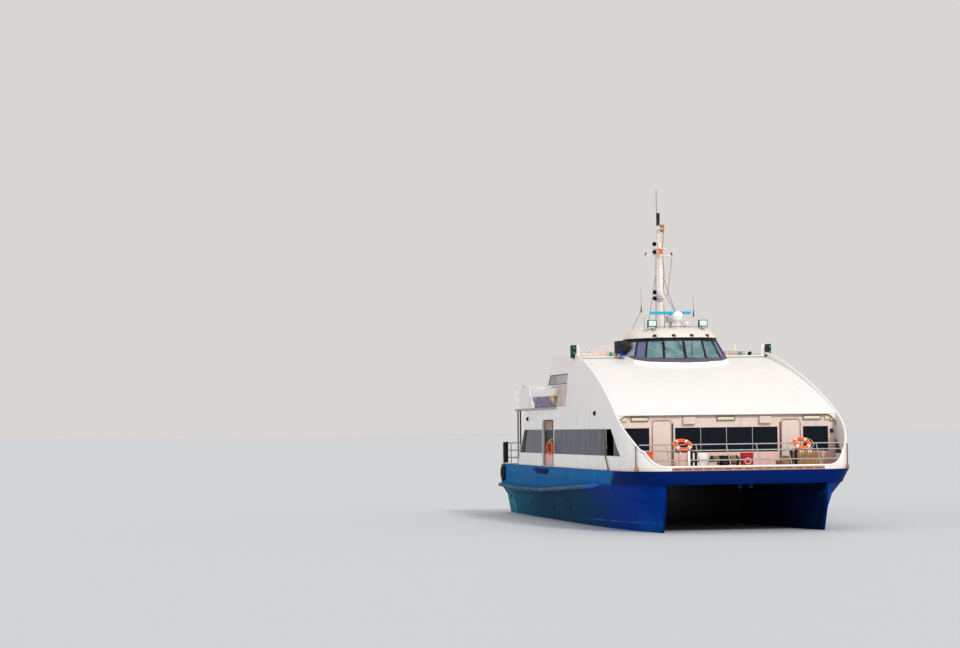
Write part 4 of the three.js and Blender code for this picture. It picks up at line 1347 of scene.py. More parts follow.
@dataclass
class Structure:
    """The CAD nodes that keep their own shape, with each one's finish and edge rounding."""

    frame: dict
    plans: dict[str, tuple[Any, float]] = field(default_factory=lambda: {
        "main_deck": (HULL, 0.02),
        "bow_coaming": (COAMING, 0.015),
        "front_wall": (CABIN, 0.004),
        "front_window_centre": (BLACK_PANE, 0.0),
        "canopy": (WHITE, 0.015),
        "upper_deck": (DECK, 0.01),
        "roof_deck": (WHITE, 0.01),
        "aft_wall": (CABIN, 0.004),
        "upper_aft_wall": (CABIN, 0.004),
        "wheelhouse_walls": (HOUSE, 0.003),
        "wheelhouse_windows": (HOUSE_PANE, 0.0),
        "wheelhouse_roof": (HOUSE_ROOF, 0.03),
        "wheelhouse_floor": (DECK, 0.006),
        "helm_console": (BLACK_RUBBER, 0.02),
        "mast": (MAST, 0.003),
        "radar_pedestal": (TUBE, 0.01),
        "satellite_dome": (WHITE, 0.0),
        "foredeck_rail": (TUBE, 0.0),
        "aft_rail": (TUBE, 0.0),
        "upper_rail": (WHITE, 0.0),
        "aft_stairs": (TUBE, 0.003),
        "anchor_windlass": (BLACK_RUBBER, 0.01),
        "deck_cabinet": (WHITE, 0.012),
        "hose_box": (RED, 0.015),
        "stowage_boxes": (TAN, 0.012),
    })
    paired: dict[str, tuple[Any, float]] = field(default_factory=lambda: {
        "hull": (HULL, 0.0),
        "rub_rail_aft": (RUB_RAIL, 0.02),
        "rub_rail_forward": (RUB_RAIL, 0.02),
        "side_wall": (SHELL, 0.012),
        "side_window_aft": (TINTED, 0.0),
        "side_window_forward": (TINTED, 0.0),
        "upper_window": (UPPER_TINT, 0.0),
        "front_window": (BLACK_PANE, 0.0),
        "raft_bay": (CABIN, 0.004),
        "life_rafts": (RAFT, 0.05),
        "lifebuoy": (ORANGE, 0.0),
        "shaft_bracket": (BRONZE, 0.006),
    })
    moving: dict[str, tuple[Any, float]] = field(default_factory=lambda: {
        "boarding_door_port": (LEAF, 0.006),
        "boarding_door_starboard": (LEAF, 0.006),
        "front_door_port": (CREAM, 0.006),
        "front_door_starboard": (CREAM, 0.006),
        "aft_door": (WHITE, 0.006),
        "upper_door": (WHITE, 0.006),
        "radar_scanner": (SKY, 0.012),
        "propeller_port": (BRONZE, 0.003),
        "propeller_starboard": (BRONZE, 0.003),
        "rudder_port": (STEEL, 0.006),
        "rudder_starboard": (STEEL, 0.006),
    })

    def build(self) -> None:
        """Takes over every planned node."""
        for node, (finish, width) in self.plans.items():
            Skin.refined(self.frame, node, finish, SHIP, width)
        for stem, (finish, width) in self.paired.items():
            for side in Side:
                Skin.refined(self.frame, f"{stem}_{side.word}", finish, SHIP, width)
        for node, (finish, width) in self.moving.items():
            Skin.refined(self.frame, node, finish, node, width)


@dataclass
class HullFittings:
    """Fenders, boarding steps, outlets, anodes and rungs on the two hulls."""

    step_low: Point = (-5.34, -4.7, 2.04)
    step_high: Point = (-2.07, -4.615, 2.25)
    tyre: Point = (-12.85, -4.67, 1.93)
    tyre_radius: float = 0.255
    tyre_tube: float = 0.115
    post_foot: Point = (-12.25, -4.655, 2.42)
    post_radius: float = 0.125
    post_height: float = 1.0
    anodes: Sequence[float] = (-9.0, -4.5, 0.5, 5.0)
    outlets: Sequence[tuple[float, float]] = ((-11.4, 0.85), (-6.2, 0.7), (2.2, 0.62), (-1.2, 0.58))

    def build(self) -> None:
        """Makes every hull fitting, starboard and port."""
        self._boarding_step()
        self._tyre()
        self._post_fender()
        self._below()
        self._stern()

    def _boarding_step(self) -> None:
        """A step under each boarding doorway, narrower below, with grip ribs on top, in navy that stands partly for
        painted shade in the recess.
        """
        step = Bench.block("boarding_step_starboard", self.step_low, self.step_high)
        Bench.push(step, facing(Axis.Z, -1), (0.25, 0, 0), (0.6, 0.7, 1), extrude=False)
        Bench.inset(step, TOP, 0.025, -0.012)
        Bench.soften(step, 0.012)
        # Navy, darker than the hull's blue: partly painted shade of the recess under the doorway.
        Bench.pair(step, NAVY)
        ribs = []
        rib = Bench.block("rib", (self.step_low[0] + 0.1, -4.69, 2.236), (self.step_low[0] + 0.14, -4.63, 2.25))
        Bench.push(rib, TOP, (0, 0, 0.006), (0.5, 0.96, 1))
        for index in range(24):
            ribs.append(Bench.copy(rib, f"rib_{index}", (index * 0.13, 0, 0)))
        bpy.data.objects.remove(rib)
        Bench.pair(Bench.join("step_ribs_starboard", ribs), NAVY)

    def _tyre(self) -> None:
        """A tyre fender at each quarter, with its tread blocks and two hangers."""
        x, y, z = self.tyre
        body = Bench.ring("tyre_fender_starboard", self.tyre, (0, 1, 0), self.tyre_radius, self.tyre_tube, 40, 12)
        block = Bench.block("tread", (x - 0.02, y - 0.06, z + self.tyre_radius + self.tyre_tube * 0.86),
                            (x + 0.02, y + 0.06, z + self.tyre_radius + self.tyre_tube + 0.008))
        Bench.push(block, TOP, (0, 0, 0.004), (0.7, 0.9, 1))
        parts = [body]
        for index in range(30):
            tread = Bench.copy(block, f"tread_{index}")
            spin = Matrix.Translation((x, y, z)) @ Matrix.Rotation(index * math.tau / 30, 4, "Y")
            tread.data.transform(spin @ Matrix.Translation((-x, -y, -z)))
            parts.append(tread)
        bpy.data.objects.remove(block)
        piece = Bench.join("tyre_fender_starboard", parts)
        Bench.soften(piece, 0.0)
        Bench.pair(piece, BLACK_RUBBER)
        for index, shift in enumerate((-0.16, 0.16)):
            Line(f"tyre_hanger_{index}_starboard", (
                (x + shift, y + 0.11, 2.36), (x + shift, y + 0.05, 2.375), (x + shift * 1.05, y - 0.02, 2.3),
                (x + shift * 1.1, y - 0.06, z + 0.2),
            ), 0.012, ROPE).build()

    def _post_fender(self) -> None:
        """A tall round fender that hangs on the aft rail."""
        x, y, z = self.post_foot
        radius, tall = self.post_radius, self.post_height
        fender = Bench.rod("post_fender_starboard", (x, y, z), (x, y, z + tall), radius, None, 24)
        Bench.soften(fender, 0.03, 3)
        Bench.pair(fender, BLACK_RUBBER)
        for index, shift in enumerate((-0.09, 0.09)):
            Line(f"fender_hanger_{index}_starboard", (
                (x + shift, y, z + tall - 0.02), (x + shift * 0.7, y + 0.05, z + tall + 0.02),
                (x + shift * 0.7, -4.485, 3.38), (x + shift * 0.7, -4.45, 3.36),
            ), 0.01, ROPE).build()
        bands = [Bench.ring(f"band_{i}", (x, y, z + at), (0, 0, 1), radius + 0.002, 0.008, 28, 8)
                 for i, at in enumerate((0.18, 0.5, 0.82))]
        band = Bench.join("fender_bands_starboard", bands)
        Bench.soften(band, 0.0)
        Bench.pair(band, GASKET)

    def _below(self) -> None:
        """Anodes and drain outlets on each hull's outer side, and lamp boxes under the bow."""
        for index, x in enumerate(self.anodes):
            Case(f"anode_{index}_starboard", (x, -4.03, -0.62), (x + 0.5, -3.93, -0.5), STEEL, 0.02,
                 (Axis.Y, -1), 0.03, 0.01).build()
        for index, (x, z) in enumerate(self.outlets):
            ring = Bench.ring(f"outlet_{index}_starboard", (x, -4.55, z), (0, 1, 0), 0.075, 0.016, 24, 8)
            Bench.end(ring, NAVY)
        for index, y in enumerate((-0.34, 0.08)):
            Case(f"bow_lamp_box_{index}", (13.2, y, 1.68), (13.34, y + 0.16, 1.835), NAVY).build()

    def _stern(self) -> None:
        """Exhaust rings and boarding rungs on the transoms."""
        for index, y in enumerate((-3.62, -2.72)):
            ring = Bench.ring(f"exhaust_{index}_starboard", (-13.635, y, 0.62), (1, 0, 0), 0.13, 0.022, 28, 8)
            Bench.end(ring, STEEL)
            disc = Bench.rod(f"exhaust_bore_{index}_starboard", (-13.62, y, 0.62), (-13.652, y, 0.62), 0.115)
            Bench.inset(disc, AFT, 0.01, -0.02)
            Bench.end(disc, BLACK_RUBBER)
        rungs = []
        for index in range(6):
            z = 0.4 + index * 0.33
            rungs.append(Bench.route(f"rung_{index}", (
                (-13.6, -3.95, z), (-13.648, -3.95, z), (-13.648, -4.3, z), (-13.6, -4.3, z)), 0.012))
        Bench.pair(Bench.join("stern_rungs_starboard", rungs), STEEL)


@dataclass
class Shell:
    """Trim on the white side walls: rim bead, corner plates, knees, end panes, lamps and doorway gear."""

    frame: dict
    sweep: Sequence[tuple[float, float]] = ((13.4, 2.52), (11.775, 5.673), (1.75, 7.25))
    weight: float = 0.646
    beams: Sequence[tuple[float, float]] = ((2.3705, 4.55), (4.4, 4.53), (5.0, 4.5), (7.4, 4.24))
    bead: float = 0.042
    wall_half: float = 0.03
    knee: float = 0.45
    corner_reach: float = 0.48
    corner_slope: float = 1.22
    lip_x: float = 10.665
    lip_z: float = 4.491
    inner: float = 4.455
    door: tuple[float, float] = (-3.6, -1.4)

    def build(self) -> None:
        """Makes all the shell's trim."""
        self._rim()
        self._fillet()
        self._knees()
        self._windows()
        self._doorway()
        self._lamps()
        self._uprights()

    def _half_beam(self, x: float, z: float) -> float:
        """How far the wall's outer face stands from the middle line."""
        half = self.beams[-1][1]
        for (z0, y0), (z1, y1) in zip(self.beams, self.beams[1:]):
            if z <= z1:
                half = y0 + (y1 - y0) * max(0.0, z - z0) / (z1 - z0)
                break
        if x > 10.94:
            half += -1.5 + 1.5 * math.sqrt(max(0.0, 1.0 - ((x - 10.94) / 2.7) ** 2))
        return half

    def _sweep_point(self, share: float) -> tuple[float, float]:
        """A point of the wall's swept top edge, from the bow (0) to the roof (1)."""
        factors = ((1 - share) ** 2, 2 * self.weight * share * (1 - share), share**2)
        total = sum(factors)
        return tuple(sum(f * p[i] for f, p in zip(factors, self.sweep)) / total for i in (0, 1))

    def _rim(self) -> None:
        """One white bead round both swept wall edges and over the bow coaming."""
        corner = self._corner()
        top = corner[-1][3]
        side = []
        for index in range(49):
            x, z = self._sweep_point(1.0 - index / 48)
            if z > top + 0.02:
                side.append((x, self._half_beam(x, z) - self.wall_half, z))
        side += [(x, y, high + 0.005) for x, y, _, high in reversed(corner)]
        front = [(13.6, 2.95, 2.525), (13.6, 0.0, 2.525)]
        port = side + front
        route = port + [(x, -y, z) for x, y, z in reversed(port[:-1])]
        Line("rim_bead", route, self.bead, WHITE, steps=3).build()
        slots = []
        for index in range(15):
            y = -2.8 + index * 0.4
            slot = Bench.block(f"slot_{index}", (13.634, y - 0.15, 2.425), (13.646, y + 0.15, 2.45))
            Bench.push(slot, FORE, (0.002, 0, 0), (1, 0.97, 0.7))
            slots.append(slot)
        Bench.dress(Bench.join("coaming_slots", slots), GASKET)

    def _corner(self) -> list[tuple[float, float, float, float]]:
        """The plate that rounds the opening's lower corner: place in plan, foot and top, from the bow aft."""
        corner_x, sill = self.sweep[0]
        path = [(13.62 - 0.005 * i, self._half_beam(13.62 - 0.005 * i, sill) - self.wall_half) for i in range(125)]
        run = [0.0]
        for (x0, y0), (x1, y1) in zip(path, path[1:]):
            run.append(run[-1] + math.hypot(x1 - x0, y1 - y0))
        middle = run[min(range(len(path)), key=lambda i: abs(path[i][0] - corner_x))]
        spots = []
        for step in range(13):
            at = middle + (step / 6 - 1) * self.corner_reach
            x, y = path[min(range(len(path)), key=lambda i: abs(run[i] - at))]
            away = at - middle
            foot = sill + max(0.0, away * self.corner_slope) - 0.03
            rise = self.corner_slope * (away + self.corner_reach) ** 2 / (4 * self.corner_reach)
            spots.append((x, y, foot, sill + rise))
        return spots

    def _fillet(self) -> None:
        """The curved plate itself, extruded spot by spot round the corner."""
        spots = self._corner()
        x, y, foot, top = spots[0]
        piece = Bench.block("corner_fillet_starboard", (x - 0.03, -y, foot), (x + 0.03, 0.04 - y, top))
        for (x0, y0, foot0, top0), (x1, y1, foot1, top1) in zip(spots, spots[1:]):
            Bench.push(
                piece, lambda middle, normal: normal.y < -0.5 and abs(middle.y + y0) < 0.004,
                (x1 - x0, y0 - y1, (foot1 + top1 - foot0 - top0) / 2), (1, 1, (top1 - foot1) / (top0 - foot0)),
            )
        Bench.end(piece, SHELL, 0.006)

    def _knees(self) -> None:
        """Hollow-cut knees between the canopy lip and the walls, and the tan line along them, partly rust and partly
        painted shadow under the lip.
        """
        low, high = self.lip_z - self.knee, self.lip_z
        middle = -self.inner + self.knee
        knee = Bench.block("knee_starboard", (10.57, -self.inner - 0.01, low), (self.lip_x, middle, high))
        tool = Bench.rod("cutter", (10.4, middle, low), (10.9, middle, low), self.knee, None, 48)
        Bench.cut(knee, tool)
        Bench.end(knee, WHITE, 0.006)
        middle = self.inner - self.knee
        port = []
        for step in range(10):
            angle = math.pi / 2 - math.radians(10 * step)
            port.append((self.lip_x + 0.004, middle + self.knee * math.sin(angle), low + self.knee * math.cos(angle)))
        route = port + [(x, -y, z) for x, y, z in reversed(port)]
        # Tan line under the lip: partly rust, partly painted shadow.
        Line("lip_line", route, 0.016, TAN_TUBE).build()

    def _windows(self) -> None:
        """Thin gaskets round the upper windows, and the panes that end the side windows."""
        for side in Side:
            Skin.surround(self.frame, f"upper_window_{side.word}", f"upper_gasket_{side.word}",
                          (Axis.Y, side.value), 0.03, 0.012, GASKET)
        pane = Bench.block("corner_pane_starboard", (10.42, -4.55, 2.94), (11.42, -4.51, 3.66))
        Bench.push(pane, FORE, (0, 0.02, 0), extrude=False)
        Bench.push(pane, TOP, (-0.49, 0, 0), (0.02, 1, 1), extrude=False)
        Bench.end(pane, TINTED, 0.003, segments=1)
        near, far = self._half_beam(-8.25, 3.4), self._half_beam(-9.15, 3.2)
        pane = Bench.block("aft_corner_pane_starboard", (-9.15, -near - 0.006, 2.94), (-8.24, -near + 0.03, 4.0))
        Bench.push(pane, AFT, (0, near - far, 0), extrude=False)
        Bench.push(pane, TOP, (0.98, 0, 0), (0.48, 1, 1), extrude=False)
        Bench.end(pane, BLACK_PANE, 0.003, segments=1)
        post = Bench.block("lookout_post_starboard", (8.78, -4.556, 2.94), (8.948, -4.54, 4.0))
        Bench.push(post, OUTER, (0, -0.003, 0), (0.9, 1, 0.99))
        Bench.end(post, TINTED, 0.002, segments=1)

    def _doorway(self) -> None:
        """The boarding doorway's trim, the leaf's window and pull, and a lifebuoy at its jamb."""
        fore, aft = self.door[1], self.door[0]
        Line("doorway_trim_starboard", (
            (aft, -4.562, 2.4), (aft, -4.552, 4.28), (aft + 0.1, -4.55, 4.4), (fore - 0.1, -4.55, 4.4),
            (fore, -4.552, 4.28), (fore, -4.562, 2.4),
        ), 0.011, GASKET).build()
        pane = Bench.block("leaf_window_starboard", (aft + 0.01, -4.4505, 2.94), (fore - 0.01, -4.446, 3.98))
        Bench.inset(pane, OUTER, 0.05, -0.001)
        Bench.end(pane, BLACK_PANE, 0.0015, body="boarding_door_starboard", segments=1)
        pull = Bench.route("leaf_pull_starboard", (
            (-1.62, -4.41, 3.0), (-1.62, -4.35, 3.0), (-1.62, -4.35, 3.3), (-1.62, -4.41, 3.3)), 0.014)
        Bench.pair(pull, STEEL, "boarding_door_starboard")
        ring = Bench.ring("door_buoy_starboard", (-1.5, -4.673, 3.2), (-0.27, 0.963, 0), 0.26, 0.05, 36, 12)
        Bench.end(ring, ORANGE)
        Line("door_buoy_hook_starboard", (
            (-1.3, -4.53, 3.56), (-1.36, -4.65, 3.56), (-1.44, -4.7, 3.5), (-1.44, -4.7, 3.42)), 0.012, STEEL).build()
        Case("door_grab_plate_starboard", (-1.35, -4.556, 3.5), (-1.25, -4.54, 3.62), STEEL, 0.004,
             (Axis.Y, -1), 0.01, 0.003).build()

    def _lamps(self) -> None:
        """Round lamps along the outer sides."""
        for index, (x, z) in enumerate(((7.06, 4.64), (-7.14, 4.49))):
            half = self._half_beam(x, z)
            place = (x, -half + 0.004, z)
            Lamp(f"side_lamp_{index}_starboard", place, (0, -1, 0), 0.1, 0.06, GASKET, BLACK_PANE).build()

    def _uprights(self) -> None:
        """Two tan uprights that stand outside the forward end of the wall."""
        Line("bent_upright_starboard", (
            (9.47, -4.585, 3.3), (9.32, -4.6, 3.14), (9.14, -4.6, 2.98), (9.3, -4.6, 2.76), (9.55, -4.59, 2.49),
            (9.55, -4.585, 2.38)), 0.028, TAN_TUBE, steps=3).build()
        Case("upright_foot_0_starboard", (9.47, -4.61, 2.375), (9.63, -4.55, 2.44), TAN_TUBE, 0.01,
             (Axis.Z, 1), 0.01, 0.004).build()
        Line("short_upright_starboard", (
            (12.75, -4.19, 3.34), (12.75, -4.22, 3.28), (12.75, -4.22, 2.56), (12.75, -4.2, 2.4)),
            0.026, TAN_TUBE, steps=3).build()
        Case("upright_foot_1_starboard", (12.66, -4.26, 2.375), (12.84, -4.12, 2.52), TAN, 0.014,
             (Axis.Y, -1), 0.02, 0.006).build()


@dataclass
class FrontBulkhead:
    """The glazed bulkhead under the canopy lip, with its doors, lamps and boxes."""

    face: float = BULKHEAD
    mullions: Sequence[float] = (-1.05, 0.0, 1.06)
    lights: Sequence[tuple[float, float]] = ((-3.88, -3.17), (-0.4, 0.34), (3.13, 3.87), (-4.36, -4.02), (4.02, 4.3))
    boxes: Sequence[tuple[float, float]] = ((-1.78, -1.29), (1.32, 1.81))
    door: tuple[float, float] = (2.218, 3.042)

    def build(self) -> None:
        """Makes the bulkhead's trim and gear."""
        for index, y in enumerate(self.mullions):
            post = Bench.block(f"front_mullion_{index}", (self.face - 0.03, y - 0.014, 3.06),
                               (self.face - 0.012, y + 0.014, 4.0))
            Bench.push(post, FORE, (0.008, 0, 0), (1, 0.6, 0.99))
            Bench.end(post, TUBE, 0.003)
        for index, (low, high) in enumerate(self.lights):
            self._light(index, low, high)
        for index, (low, high) in enumerate(self.boxes):
            Case(f"speaker_box_{index}", (self.face, low, 4.16), (self.face + 0.16, high, 4.44), CREAM, 0.02,
                 (Axis.X, 1), 0.04, -0.01).build()
        self._doors()
        Lamp("bell_lamp", (self.face, 4.3, 4.31), (1, 0, -0.3), 0.07, 0.09, GASKET, LENS).build()
        Case("alarm_case", (self.face, 4.24, 3.76), (self.face + 0.08, 4.36, 3.92), GASKET).build()
        Case("call_point", (self.face, -2.16, 3.3), (self.face + 0.04, -2.1, 3.4), RED, 0.006).build()
        wale = Bench.block("bulkhead_kick_strip", (self.face, -4.4, 2.375), (self.face + 0.012, 4.4, 2.43))
        Bench.push(wale, FORE, (0.004, 0, 0), (1, 1, 0.5))
        tool = Bench.block("gap", (self.face - 0.1, -3.1, 2.3), (self.face + 0.1, -2.16, 2.6))
        other = Bench.copy(tool, "gap_port", mirrored=True)
        Bench.cut(wale, tool)
        Bench.cut(wale, other)
        Bench.end(wale, TAN, 0.002, segments=1)

    def _light(self, index: int, low: float, high: float) -> None:
        """One oblong lamp: a framed case and its lens."""
        case = Bench.block(f"bulkhead_lamp_{index}", (self.face, low, 4.28), (self.face + 0.07, high, 4.45))
        Bench.inset(case, FORE, 0.025, -0.02)
        Bench.end(case, STRAW if high - low < 0.5 else TAN_TUBE, 0.008)
        lens = Bench.block(f"bulkhead_lens_{index}", (self.face + 0.04, low + 0.03, 4.31),
                           (self.face + 0.056, high - 0.03, 4.42))
        Bench.push(lens, FORE, (0.008, 0, 0), (1, 0.9, 0.7))
        Bench.end(lens, LENS, 0.003)

    def _doors(self) -> None:
        """Round-topped outlines, levers and hinges of the two front doors, and beside each a dark bar that is painted
        shadow of the door frame.
        """
        low, high = self.door
        outline = [(-high + 0.03, 2.44), (-high + 0.03, 4.18), (-high + 0.07, 4.27), (-high + 0.15, 4.3),
                   (-low - 0.15, 4.3), (-low - 0.07, 4.27), (-low - 0.03, 4.18), (-low - 0.03, 2.44)]
        Line("front_door_outline_starboard", [(self.face + 0.004, y, z) for y, z in outline], 0.014,
             TAN_TUBE).build("front_door_starboard")
        at = -low - 0.09
        rose = Bench.rod("rose", (self.face, at, 3.1), (self.face + 0.018, at, 3.1), 0.032, 0.028)
        lever = Bench.route("lever", (
            (self.face + 0.01, at, 3.1), (self.face + 0.045, at, 3.1), (self.face + 0.05, at - 0.04, 3.1),
            (self.face + 0.05, at - 0.13, 3.095)), 0.01)
        handle = Bench.join("front_door_handle_starboard", [rose, lever])
        Bench.end(handle, STEEL, body="front_door_starboard")
        hinges = []
        for z in (2.62, 3.36, 4.1):
            pin = Bench.rod(f"pin_{z}", (self.face + 0.012, -high - 0.01, z - 0.06),
                            (self.face + 0.012, -high - 0.01, z + 0.06), 0.011)
            Bench.push(pin, CAP, (0, 0, 0.008), (0.5, 0.5, 1))
            hinges.append(pin)
        Bench.end(Bench.join("front_hinges_starboard", hinges), STEEL)
        # A dark strip beside the door: painted shadow of the door frame.
        bar = Bench.block("door_stop_bar_starboard", (self.face, -low + 0.01, 2.5),
                          (self.face + 0.03, -low + 0.05, 4.2))
        Bench.inset(bar, FORE, 0.008, -0.004)
        Bench.end(bar, GASKET, 0.004)


@dataclass
class Foredeck:
    """Bollards, lockers, winch ropes, box lids and rail gear on the open foredeck."""

    bollards: Sequence[float] = (-2.08, -1.9)
    bollard_x: float = 12.95
    drum: Point = (11.85, -0.14, 2.74)
    buoy_centres: Sequence[Point] = ((12.95, 2.32, 3.36), (12.95, -2.42, 3.36))
    buoy_radius: float = 0.29
    buoy_tube: float = 0.075
    buoy_tilt: float = math.radians(35)
    steps: Sequence[tuple[Point, Point]] = (
        ((11.5, 1.7, 2.66), (12.0, 1.99, 2.7)),
        ((11.5, 1.99, 2.84), (12.0, 2.26, 2.88)),
        ((11.5, 3.08, 2.99), (12.0, 3.43, 3.03)),
        ((11.5, 2.5, 3.13), (11.9, 3.08, 3.17)),
        ((11.5, 2.26, 2.99), (12.0, 2.5, 3.03)),
    )

    def build(self) -> None:
        """Makes all the foredeck gear."""
        self._bollards()
        self._lockers()
        self._winch()
        self._box_lids()
        self._buoys()
        self._deck_details()

    def _bollards(self) -> None:
        """Twin bollards with mushroom caps on a base plate, each side."""
        posts = []
        for y in self.bollards:
            post = Bench.rod(f"post_{y}", (self.bollard_x, y, 2.38), (self.bollard_x, y, 3.02), 0.055, 0.05, 18)
            Bench.push(post, CAP, (0, 0, 0.012), (1.4, 1.4, 1))
            Bench.push(post, CAP, (0, 0, 0.05), (1, 1, 1))
            Bench.push(post, CAP, (0, 0, 0.018), (0.7, 0.7, 1))
            posts.append(post)
        foot = Bench.block("foot", (12.83, -2.19, DECK_TOP), (13.07, -1.79, 2.4))
        Bench.push(foot, TOP, (0, 0, 0.012), (0.86, 0.92, 1))
        bar = Bench.rod("bar", (self.bollard_x, -2.2, 2.72), (self.bollard_x, -1.78, 2.72), 0.025)
        piece = Bench.join("bow_bollards_starboard", [*posts, foot, bar])
        Bench.end(piece, BLACK_RUBBER, 0.004)

    def _lockers(self) -> None:
        """An orange locker, a white post, a pale gear box and the ring on the hose box."""
        Case("orange_locker", (11.42, -3.66, DECK_TOP), (11.72, -3.29, 3.06), ORANGE, 0.03, (Axis.X, 1), 0.04).build()
        Case("orange_locker_lid", (11.4, -3.68, 3.05), (11.74, -3.27, 3.1), ORANGE, 0.02, (Axis.Z, 1), 0.03).build()
        post = Bench.block("white_post", (13.36, -2.33, 2.4), (13.44, -2.25, 3.1))
        Bench.push(post, TOP, (0, 0, 0.03), (0.6, 0.6, 1))
        Bench.end(post, WHITE, 0.006)
        Case("winch_gear_box", (12.0, -1.18, 2.54), (12.22, -0.87, 2.68), CREAM, 0.015).build()
        Case("cabinet_door", (11.8, -1.64, 2.46), (11.815, -1.18, 2.96), WHITE, 0.005, depth=0.004).build()
        ring = Bench.ring("hose_ring", (12.006, 0.44, 2.7), (1, 0, 0), 0.12, 0.014, 28, 8)
        Bench.end(ring, WHITE)
        Line("hose_box_handle", (
            (12.0, 0.37, 2.5), (12.03, 0.37, 2.5), (12.03, 0.51, 2.5), (12.0, 0.51, 2.5)), 0.008, STEEL).build()
        roof = Bench.block("hose_box_lid", (11.68, 0.2, 2.985), (12.02, 0.68, 3.0))
        Bench.push(roof, TOP, (0, 0, 0.02), (0.5, 0.9, 1))
        Bench.end(roof, RED, 0.005)

    def _winch(self) -> None:
        """Rope windings on both drums, brake wheel and chain pipe of the windlass."""
        x, _, z = self.drum
        for name, low, turns, radius, finish in (
            ("winch_rope", -0.255, 8, 0.152, ROPE), ("winch_chain_rope", -0.93, 8, 0.148, ROPE),
        ):
            layers = []
            for layer in range(2):
                for turn in range(turns - layer):
                    y = low + 0.017 + turn * 0.031 + layer * 0.0155
                    layers.append(Bench.ring(f"turn_{layer}_{turn}", (x, y, z), (0.02, 1, 0.03),
                                             radius - 0.012 + layer * 0.026, 0.0165, 24, 8))
            piece = Bench.join(name, layers)
            Bench.end(piece, finish)
        wheel = Bench.ring("wheel", (x + 0.02, 0.14, 2.78), (0, 1, 0), 0.13, 0.012, 24, 8)
        spokes = [wheel]
        for turn in range(4):
            angle = turn * math.pi / 4
            dx, dz = 0.13 * math.cos(angle), 0.13 * math.sin(angle)
            spokes.append(Bench.route(f"spoke_{turn}", (
                (x + 0.02 - dx, 0.14, 2.78 - dz), (x + 0.02 + dx, 0.14, 2.78 + dz)), 0.008, 1))
        Bench.end(Bench.join("brake_wheel", spokes), STEEL)
        pipe = Bench.rod("chain_pipe", (12.35, -0.48, DECK_TOP), (12.35, -0.48, 2.46), 0.11, 0.085, 22)
        Bench.inset(pipe, CAP, 0.02, -0.06)
        Bench.end(pipe, BLACK_RUBBER, 0.004)

    def _box_lids(self) -> None:
        """Overhanging lids, battens and latches on the stepped brown boxes."""
        for index, (low, high) in enumerate(self.steps):
            (x0, y0, z0), (x1, y1, z1) = low, high
            lid = Bench.block(f"box_lid_{index}", (x0 - 0.02, y0 - 0.01, z0 + 0.015), (x1 + 0.025, y1 + 0.01, z1))
            Bench.inset(lid, TOP, 0.025, -0.006)
            Bench.end(lid, CRATE_LID, 0.005)
        battens = []
        for y in (1.78, 2.2, 2.62, 3.04, 3.38):
            batten = Bench.block(f"batten_{y}", (12.0, y - 0.03, 2.4), (12.012, y + 0.03, 2.64))
            Bench.push(batten, FORE, (0.006, 0, 0), (1, 0.7, 0.96))
            battens.append(batten)
        rail = Bench.block("rail", (12.0, 1.72, 2.5), (12.01, 3.43, 2.53))
        Bench.push(rail, FORE, (0.004, 0, 0), (1, 0.99, 0.6))
        Bench.end(Bench.join("box_battens", [*battens, rail]), TAN, 0.003, segments=1)
        hook = ((12.0, 2.7), (12.03, 2.69), (12.03, 2.62), (12.01, 2.61))
        clips = [Bench.route(f"clip_{y}", [(x, y, z) for x, z in hook], 0.008) for y in (1.85, 2.15, 2.75, 3.2)]
        Bench.dress(Bench.join("box_clips", clips), STEEL)

    def _buoys(self) -> None:
        """White bands, grab lines and brackets of the two bow lifebuoys."""
        tilt = Matrix.Rotation(self.buoy_tilt, 4, "Y")
        for side, centre in zip(Side, self.buoy_centres):
            place = Matrix.Translation(centre) @ tilt
            bands = []
            for quarter in range(4):
                arc = []
                for step in range(5):
                    angle = quarter * math.pi / 2 + math.pi / 4 + (step - 2) * 0.075
                    arc.append(tuple(place @ Vector((
                        self.buoy_radius * math.cos(angle), self.buoy_radius * math.sin(angle), 0))))
                bands.append(Bench.route(f"arc_{quarter}", arc, self.buoy_tube + 0.003, 3))
            Bench.dress(Bench.soften(Bench.join(f"buoy_bands_{side.word}", bands), 0.0), WHITE)
            loop = []
            for step in range(48):
                angle = step * math.tau / 48
                reach = self.buoy_radius + self.buoy_tube * (0.98 + 0.16 * abs(math.sin(2 * angle)))
                loop.append(tuple(place @ Vector((reach * math.cos(angle), reach * math.sin(angle), 0.02))))
            Line(f"buoy_grab_line_{side.word}", loop, 0.009, WHITE_ROPE, True).build()
            x, y, z = centre
            Line(f"buoy_bracket_{side.word}", (
                (x + 0.32, y - 0.16, z - 0.26), (x + 0.36, y - 0.16, z - 0.34), (x + 0.1, y - 0.16, z - 0.26),
                (x - 0.1, y - 0.16, z - 0.98), (x - 0.1, y + 0.16, z - 0.98), (x + 0.1, y + 0.16, z - 0.26),
                (x + 0.36, y + 0.16, z - 0.34), (x + 0.32, y + 0.16, z - 0.26)), 0.014, STEEL).build()

    def _deck_details(self) -> None:
        """Deck hatch, fairleads and a small vent."""
        hatch = Bench.block("bow_hatch", (12.5, 0.4, DECK_TOP), (13.1, 1.1, 2.42))
        Bench.push(hatch, TOP, (0, 0, 0.02), (0.9, 0.9, 1))
        Bench.inset(hatch, TOP, 0.05, -0.008)
        Bench.end(hatch, CREAM, 0.006)
        lead = Bench.block("bow_fairlead_starboard", (13.36, -1.5, DECK_TOP), (13.5, -1.1, 2.44))
        Bench.push(lead, lambda middle, normal: normal.z > 0.7, (0, 0, 0.03), (0.8, 0.9, 1))
        Bench.inset(lead, TOP, 0.02, -0.03)
        Bench.end(lead, STEEL, 0.008)
        vent = Bench.rod("bow_vent", (12.3, -2.6, DECK_TOP), (12.3, -2.6, 2.62), 0.05, None, 18)
        Bench.push(vent, CAP, (0, 0, 0.0), (1.8, 1.8, 1))
        Bench.push(vent, CAP, (0, 0, 0.05), (0.8, 0.8, 1))
        Bench.end(vent, CREAM, 0.008)


